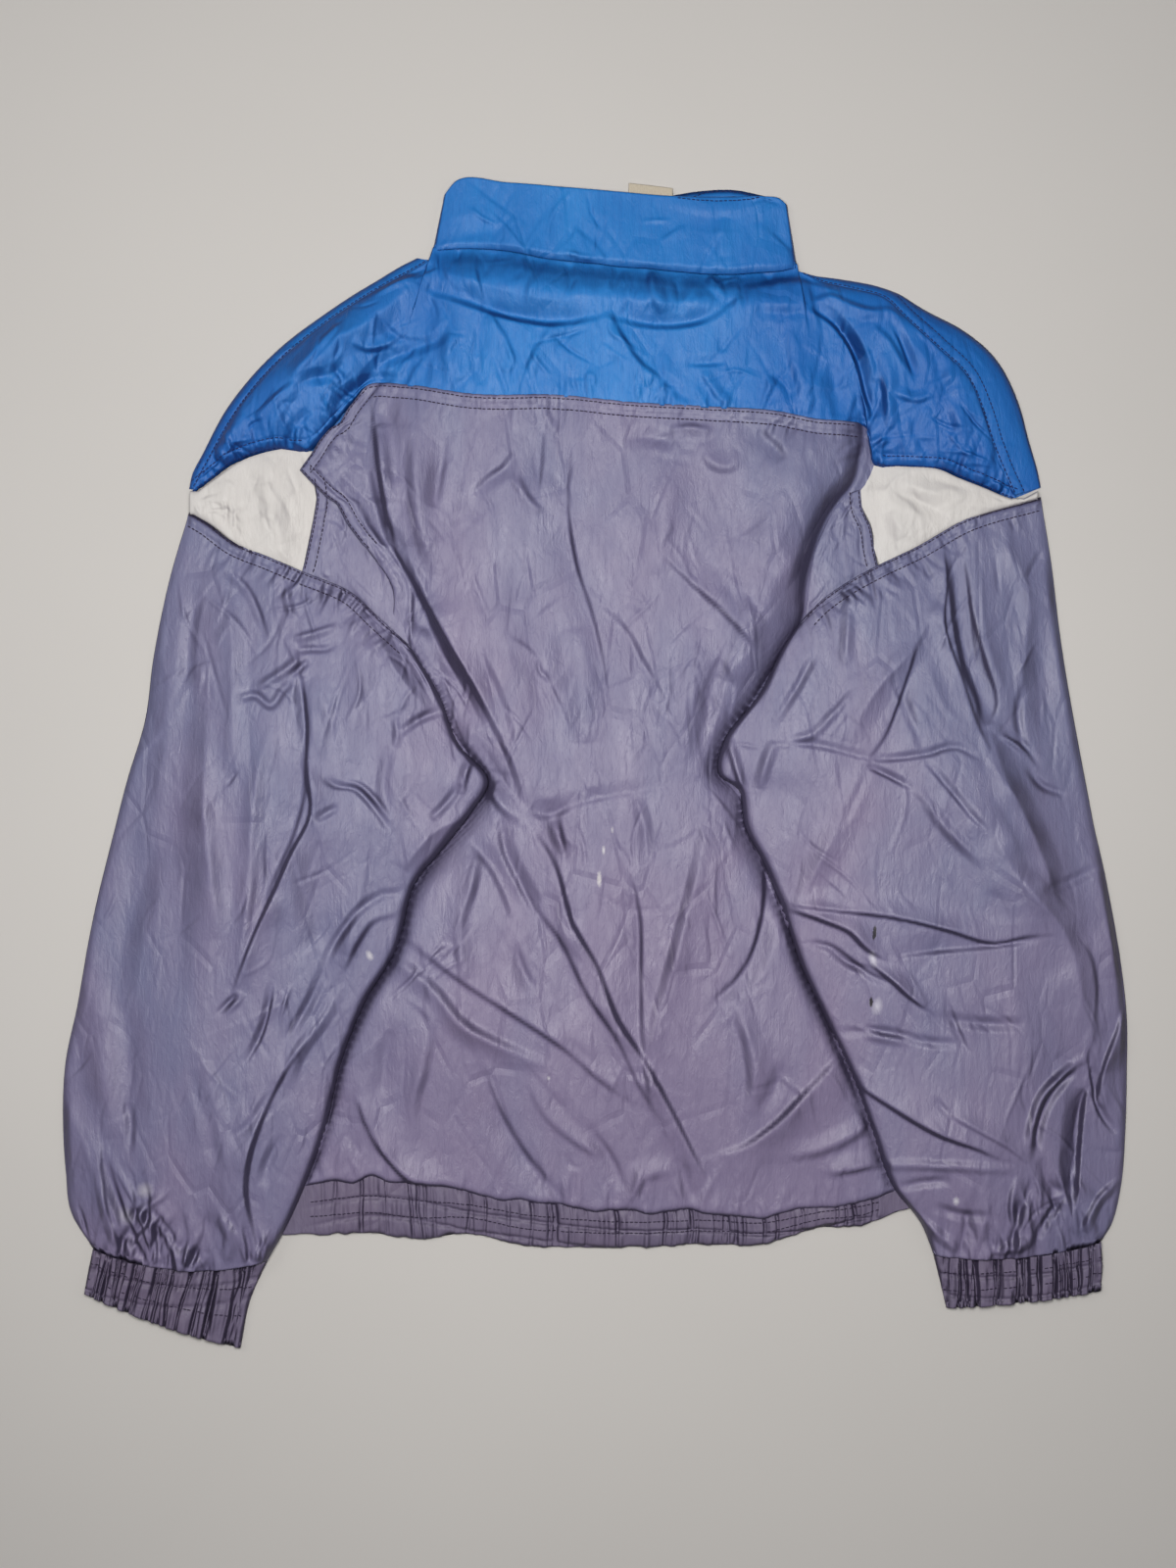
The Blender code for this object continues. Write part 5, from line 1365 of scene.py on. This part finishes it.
class Skin:
    """A material whose nodes are added one by one, and its slot in the record."""

    def __init__(self, name, slot, roughness, specular, metallic=0.0):
        self.slot = slot
        self.material = bpy.data.materials.new(name)
        self.material.use_nodes = True
        self.tree = self.material.node_tree
        self.shader = self.tree.nodes["Principled BSDF"]
        self.set(self.shader, {"Roughness": roughness, "Specular IOR Level": specular,
                               "Metallic": metallic})
        self.place, self.facing = (self.tree.nodes.new("ShaderNodeTexCoord").outputs[key]
                                   for key in ("Object", "Normal"))
        self.bumps = None

    def set(self, node, values):
        for socket, value in values.items():
            node.inputs[socket].default_value = value

    def node(self, kind, values=None, links=None, **options):
        """A new node with its options, its sockets' values and what is linked to them."""
        made = self.tree.nodes.new("ShaderNode" + kind)
        for option, value in options.items():
            setattr(made, option, value)
        self.set(made, values or {})
        for socket, source in (links or {}).items():
            self.tree.links.new(source, made.inputs[socket])
        return made

    def moved(self, scale, turn, location=(0, 0, 0), kind="POINT", source=None):
        """Places on the cloth, scaled and turned."""
        values = {"Scale": scale, "Rotation": (0, 0, turn), "Location": location}
        links = {"Vector": source or self.place}
        return self.node("Mapping", values, links, vector_type=kind).outputs[0]

    def noise(self, scale, turn, detail, roughness=0.5, distortion=0.0):
        values = {"Scale": 1.0, "Detail": detail, "Roughness": roughness, "Distortion": distortion}
        return self.node("TexNoise", values, {"Vector": self.moved(scale, turn)}).outputs["Fac"]

    def ranged(self, source, low, high, to_low=0.0, to_high=1.0):
        """The source from low to high, spread over another range and clipped to it."""
        values = {"From Min": low, "From Max": high, "To Min": to_low, "To Max": to_high}
        return self.node("MapRange", values, {"Value": source}).outputs["Result"]

    def maths(self, operation, *sources):
        return self.node("Math", {}, dict(enumerate(sources)), operation=operation).outputs[0]

    def creased(self, scale, turn, width):
        """1 along straight thin lines that meet in corners, 0 away from them; some are left out."""
        away = self.node("TexVoronoi", {"Scale": 1.0}, {"Vector": self.moved(scale, turn)},
                         feature="DISTANCE_TO_EDGE").outputs["Distance"]
        line = self.ranged(away, 0.0, width, 1.0, 0.0)
        part = self.ranged(self.noise([0.9 * size for size in scale], turn + 0.4, 1.0), 0.42, 0.62)
        return self.maths("MULTIPLY", line, part)

    def mixed(self, factor, first, second):
        """Mix of two colours, each a socket or three numbers, by a factor's socket."""
        made = self.node("Mix", {}, {0: factor}, data_type="RGBA")
        for socket, value in ((made.inputs[6], first), (made.inputs[7], second)):
            if isinstance(value, tuple):
                socket.default_value = (*value, 1.0)
            else:
                self.tree.links.new(value, socket)
        return made.outputs[2]

    def colour(self, socket):
        self.tree.links.new(socket, self.shader.inputs["Base Color"])

    def bump(self, height, distance, strength):
        """One more layer of bump over those made before."""
        links = {"Height": height}
        if self.bumps:
            links["Normal"] = self.bumps
        made = self.node("Bump", {"Distance": distance, "Strength": strength}, links)
        self.bumps = made.outputs["Normal"]
        self.tree.links.new(self.bumps, self.shader.inputs["Normal"])


def nylon(name, slot, cool, warm, deep, shade, roughness, specular, warmth_and_side_shade=(0.0, 0.0), spots=()):
    """Thin woven nylon, shot in two colours, with slubs down its length and a creased, crinkled face.
    Where it slopes its colour turns to a darker one: painted shade of slopes. Two further numbers say
    how much warmer it is at the foot of the jacket, and how much cooler and darker at its sides:
    painted shade where the light falls off."""
    skin = Skin(name, slot, roughness, specular)
    where = skin.node("SeparateXYZ", {}, {"Vector": skin.place}).outputs
    lower = skin.ranged(where["Y"], *DRIFT_Y, -warmth_and_side_shade[0], warmth_and_side_shade[0])
    # Painted shade: cooler and darker towards the sides of the jacket, where the light falls off
    aside = skin.ranged(skin.maths("ABSOLUTE", where["X"]), *SIDE_SHADE_X, 0.1, -warmth_and_side_shade[1])
    patches = skin.noise(PATCHES, 0.1, 3.0, 0.6, 0.4)
    for shift in (lower, aside):
        patches = skin.maths("ADD", patches, shift)
    patches = skin.ranged(patches, 0.25, 0.75)
    streaks = skin.ranged(skin.noise(SLUBS, 0.0, 3.0, 0.6), 0.35, 0.75, 0.0, SLUB_DEPTH)
    colour = skin.mixed(patches, cool, warm)
    colour = skin.mixed(streaks, colour, deep)
    threads = skin.ranged(skin.noise(THREADS, 0.0, 2.0, 0.6), 0.35, 0.7, 0.0, THREAD_DEPTH)
    colour = skin.mixed(threads, colour, deep)
    if spots:
        rough = skin.node("TexNoise", {"Scale": SPOT_NOISE, "Detail": 2.0}, {"Vector": skin.place})
        bent = skin.node("VectorMath", {"Scale": 2 * SPOT_SHIFT * MM},
                         {"Vector": rough.outputs["Color"]}, operation="SCALE").outputs[0]
        shaken = skin.node("VectorMath", {}, {0: skin.place, 1: bent}, operation="ADD").outputs[0]
    for middle, size, turn, tone, low, high in spots:
        scale = (size[0] * MM, size[1] * MM, 1.0)
        location = ((middle[0] + SPOT_SHIFT) * MM, (middle[1] + SPOT_SHIFT) * MM, 0.0)
        inside = skin.moved(scale, turn, location, "TEXTURE", shaken)
        ball = skin.node("TexGradient", {}, {"Vector": inside}, gradient_type="SPHERICAL")
        colour = skin.mixed(skin.ranged(ball.outputs["Fac"], low, high), colour, tone)
    # Painted shade: the colour darkens to the shade colour where the cloth slopes away from the light
    facing = skin.node("SeparateXYZ", {}, {"Vector": skin.facing}).outputs["Z"]
    facing = skin.ranged(skin.maths("ABSOLUTE", facing), *SHADE_SLOPE, 0.0, SHADE_DEPTH)
    skin.colour(skin.mixed(facing, colour, shade))
    shine = skin.ranged(skin.noise(SHINE, 0.2, 2.0), 0.3, 0.7, roughness + SHINE_LOW,
                        roughness + SHINE_HIGH)
    skin.tree.links.new(shine, skin.shader.inputs["Roughness"])
    warp, weft = (skin.node("TexWave", {"Scale": WEAVE}, {"Vector": skin.place},
                            bands_direction=way).outputs["Fac"] for way in "XY")
    skin.bump(skin.maths("MULTIPLY", warp, weft), WEAVE_HEIGHT, 0.5)
    for crinkle, height, strength in CRINKLES:
        skin.bump(skin.noise(*crinkle), height, strength)
    skin.bump(skin.creased(*CREASED), CREASED_HEIGHT, 1.0)
    return skin


def thread(name, slot, tone):
    """Twisted sewing thread."""
    skin = Skin(name, slot, roughness=0.6, specular=0.3)
    twist = skin.ranged(skin.noise((900, 900, 900), 0.5, 2.0), 0.3, 0.7)
    skin.colour(skin.mixed(twist, tone, tuple(1.7 * part for part in tone)))
    skin.bump(twist, 0.0001, 0.6)
    return skin


def plain(name, slot, tone, other, roughness, specular, scale, metallic=0.0):
    """A material of two tones mixed in fine grains."""
    skin = Skin(name, slot, roughness, specular, metallic)
    grain = skin.ranged(skin.noise(scale, 0.0, 3.0), 0.3, 0.7)
    skin.colour(skin.mixed(grain, tone, other))
    skin.bump(grain, 0.0001, 0.5)
    return skin


blue = nylon("blue_nylon", "blue_nylon", cool=(0.007, 0.118, 0.44), warm=(0.021, 0.228, 0.63),
             deep=(0.006, 0.085, 0.36), shade=(0.003, 0.028, 0.16), roughness=0.5, specular=0.38,
             warmth_and_side_shade=(0.0, 0.26))
lavender = nylon("lavender_nylon", "lavender_nylon", cool=(0.152, 0.16, 0.288),
                 warm=(0.218, 0.178, 0.3), deep=(0.12, 0.098, 0.2), shade=(0.026, 0.02, 0.05),
                 roughness=0.48, specular=0.6, warmth_and_side_shade=(0.25, 0.15), spots=SPOTS)
# Painted shade: a darker copy of the lavender nylon for the hem band and cuffs, for the shade held in
# their gathers
shaded_band = nylon("lavender_band_painted_shade", "lavender_nylon", cool=(0.155, 0.135, 0.22), warm=(0.165, 0.13, 0.208),
               deep=(0.08, 0.06, 0.105), shade=(0.022, 0.016, 0.038), roughness=0.52, specular=0.36)
white = nylon("white_nylon", "white_nylon", cool=(0.61, 0.6, 0.595), warm=(0.64, 0.61, 0.585),
              deep=(0.53, 0.5, 0.49), shade=(0.3, 0.28, 0.3), roughness=0.5, specular=0.35)
tape = plain("label_weave", "label_tape", (0.56, 0.5, 0.4), (0.48, 0.42, 0.33), 0.8, 0.2,
             (1400, 500, 500))
dark = plain("zip_black", "zip_plastic", (0.02, 0.02, 0.03), (0.035, 0.035, 0.045), 0.42, 0.5,
             (800, 300, 500))
metal = plain("zip_lacquer", "zip_metal", (0.16, 0.16, 0.17), (0.22, 0.22, 0.23), 0.35, 0.5,
              (500, 500, 500), metallic=0.9)
navy = thread("navy_thread", "blue_nylon", (0.006, 0.014, 0.08))
plum = thread("plum_thread", "lavender_nylon", (0.022, 0.015, 0.035))

# ---------------------------------------------------------------- the jacket

collar_foot = make_collar()
shoulder_seam, yoke_foot = make_yoke(collar_foot)
seam_left, seam_right = through(SLEEVE_SEAM_LEFT, 120), through(SLEEVE_SEAM_RIGHT, 120)
shoulders = (make_front_yoke("front_yoke_right_cloth", FRONT_YOKE_RIGHT, shoulder_seam, yoke_foot,
                             WHITE_RIGHT_X[0], seed=41),
             make_front_yoke("front_yoke_left_cloth", FRONT_YOKE_LEFT, shoulder_seam, yoke_foot,
                             WHITE_LEFT_X[0], seed=42))
make_front("front_left_cloth", 1, ZIP_X - ZIP_WIDTH / 2 - GAP, seed=43)
make_front("front_right_cloth", 2, ZIP_X + ZIP_WIDTH / 2 + GAP, seed=44)
back = make_back(yoke_foot)
make_white("white_left_cloth", WHITE_LEFT_X, WHITE_SKEW[0], WHITE_LEFT_BENDS, yoke_foot, seam_left,
           WHITE_LEFT_CREASES, seed=45)
make_white("white_right_cloth", WHITE_RIGHT_X, WHITE_SKEW[1], WHITE_RIGHT_BENDS,
           np.vstack([yoke_foot, [WHITE_RIGHT_END]]), seam_right, WHITE_RIGHT_CREASES, seed=47)
gusset_left = make_gusset("gusset_left_cloth", GUSSET_LEFT, seam_left, seed=51)
gusset_right = make_gusset("gusset_right_cloth", GUSSET_RIGHT, seam_right, seed=54)
make_sleeve("sleeve_left_cloth", SLEEVE_LEFT, seam_left, LEFT_CREASES, seed=61)
make_sleeve("sleeve_right_cloth", SLEEVE_RIGHT, seam_right, RIGHT_CREASES, seed=66)
cuff_left = make_cuff("cuff_left_cloth", CUFF_LEFT, seed=81)
cuff_right = make_cuff("cuff_right_cloth", CUFF_RIGHT, seed=85)
hem = make_hem()
make_label()
make_zip()
make_slider()

# All pieces as one surface, for the sewing to lie on
bpy.context.view_layer.update()
corners, polygons = [], []
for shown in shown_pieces():
    first = len(corners)
    corners += [vertex.co.copy() for vertex in shown.data.vertices]
    polygons += [[first + corner for corner in face.vertices] for face in shown.data.polygons]
cover = BVHTree.FromPolygons(corners, polygons)

# Two rows along each seam, at distances to its left: one by the seam, one at the edge of the seam
# allowance
on_left, on_right = yoke_foot[:, 0] < WHITE_LEFT_X[0] + 4, yoke_foot[:, 0] > WHITE_RIGHT_X[0]
on_blue = [offset(yoke_foot, distance)[part]
           for part in (on_left, on_right) for distance in (1.0, STRIP)]
on_blue += [np.reshape(row, (-1, 2)) for row in BLUE_SEWING]
for seam, edge in shoulders:
    out = edge - seam
    reach = np.linalg.norm(out, axis=1)[:, None]
    on_blue += [(seam + out / reach * distance)[reach[:, 0] > distance + 2]
                for distance in (1.0, STRIP)]
middle = (yoke_foot[:, 0] > FLAP_EDGE[0][0]) & (yoke_foot[:, 0] < BACK[0][4] - 4)
on_lavender = [offset(yoke_foot, distance)[middle] for distance in (-1.4, -1.4 - STRIP)]
for seam, distances in ((seam_left, (-1.2, -1.2 - STRIP)), (seam_right, (1.2, 1.2 + STRIP)),
                        (back[:FLAP_SEWN, 0], (1.2, STRIP)), (gusset_left[:, 0], (1.2, STRIP)),
                        (gusset_right[:, -1], (-1.2, -STRIP))):
    on_lavender += [offset(seam, distance) for distance in distances]
hem = hem[:, (hem[0, :, 0] > HEM_SHOWN[0]) & (hem[0, :, 0] < HEM_SHOWN[1])]
for band, rows in ((hem, HEM_SEWN), (cuff_left, CUFF_SEWN), (cuff_right, CUFF_SEWN)):
    on_lavender += [band[row] for row in rows]
sew("sewing_blue", on_blue, navy, cover, seed=91)
sew("sewing_lavender", on_lavender, plum, cover, seed=92)

# ---------------------------------------------------------------- floor, light and camera

FLOOR_CORNERS = ((-6.0, -6.0, 0.0), (6.0, -6.0, 0.0), (6.0, 6.0, 0.0), (-6.0, 6.0, 0.0))
FLOOR_Z = -0.0006           # just below the jacket's lowest edges
scene = bpy.context.scene
floor_data = bpy.data.meshes.new("floor")
floor_data.from_pydata(FLOOR_CORNERS, [], [(0, 1, 2, 3)])
floor = bpy.data.objects.new("floor", floor_data)
floor.location.z = FLOOR_Z
scene.collection.objects.link(floor)
paint = plain("floor_paint", None, (0.6, 0.58, 0.56), (0.585, 0.565, 0.545), 0.75, 0.25, (3, 3, 3))
floor_data.materials.append(paint.material)

world = bpy.data.worlds.new("studio")
world.use_nodes = True
backdrop = world.node_tree.nodes["Background"]
backdrop.inputs["Color"].default_value = (0.93, 0.95, 1.0, 1.0)
backdrop.inputs["Strength"].default_value = 0.07
scene.world = world
scene.view_settings.view_transform = "Standard"

for name, place, size, power, tint in LIGHTS:
    data = bpy.data.lights.new(name, "AREA")
    data.shape, data.size, data.size_y = "RECTANGLE", *size
    data.energy, data.color = power, tint
    lamp = bpy.data.objects.new(name, data)
    lamp.visible_camera = False
    lamp.location = place
    lamp.rotation_euler = (-lamp.location).to_track_quat("-Z", "Y").to_euler()
    scene.collection.objects.link(lamp)

camera_data = bpy.data.cameras.new("camera")
camera = bpy.data.objects.new("camera", camera_data)
camera.location = ((PHOTO_SIZE[0] / 2 - PHOTO_ORIGIN[0]) * PHOTO_SCALE * MM,
                   (PHOTO_ORIGIN[1] - PHOTO_SIZE[1] / 2) * PHOTO_SCALE * MM,
                   (CAMERA_HEIGHT + CAMERA_FOCUS_Z) * MM)
camera_data.sensor_width = SENSOR
camera_data.lens = SENSOR * CAMERA_HEIGHT / (PHOTO_SIZE[1] * PHOTO_SCALE)
camera_data.clip_end = 50.0
scene.collection.objects.link(camera)
scene.camera = camera
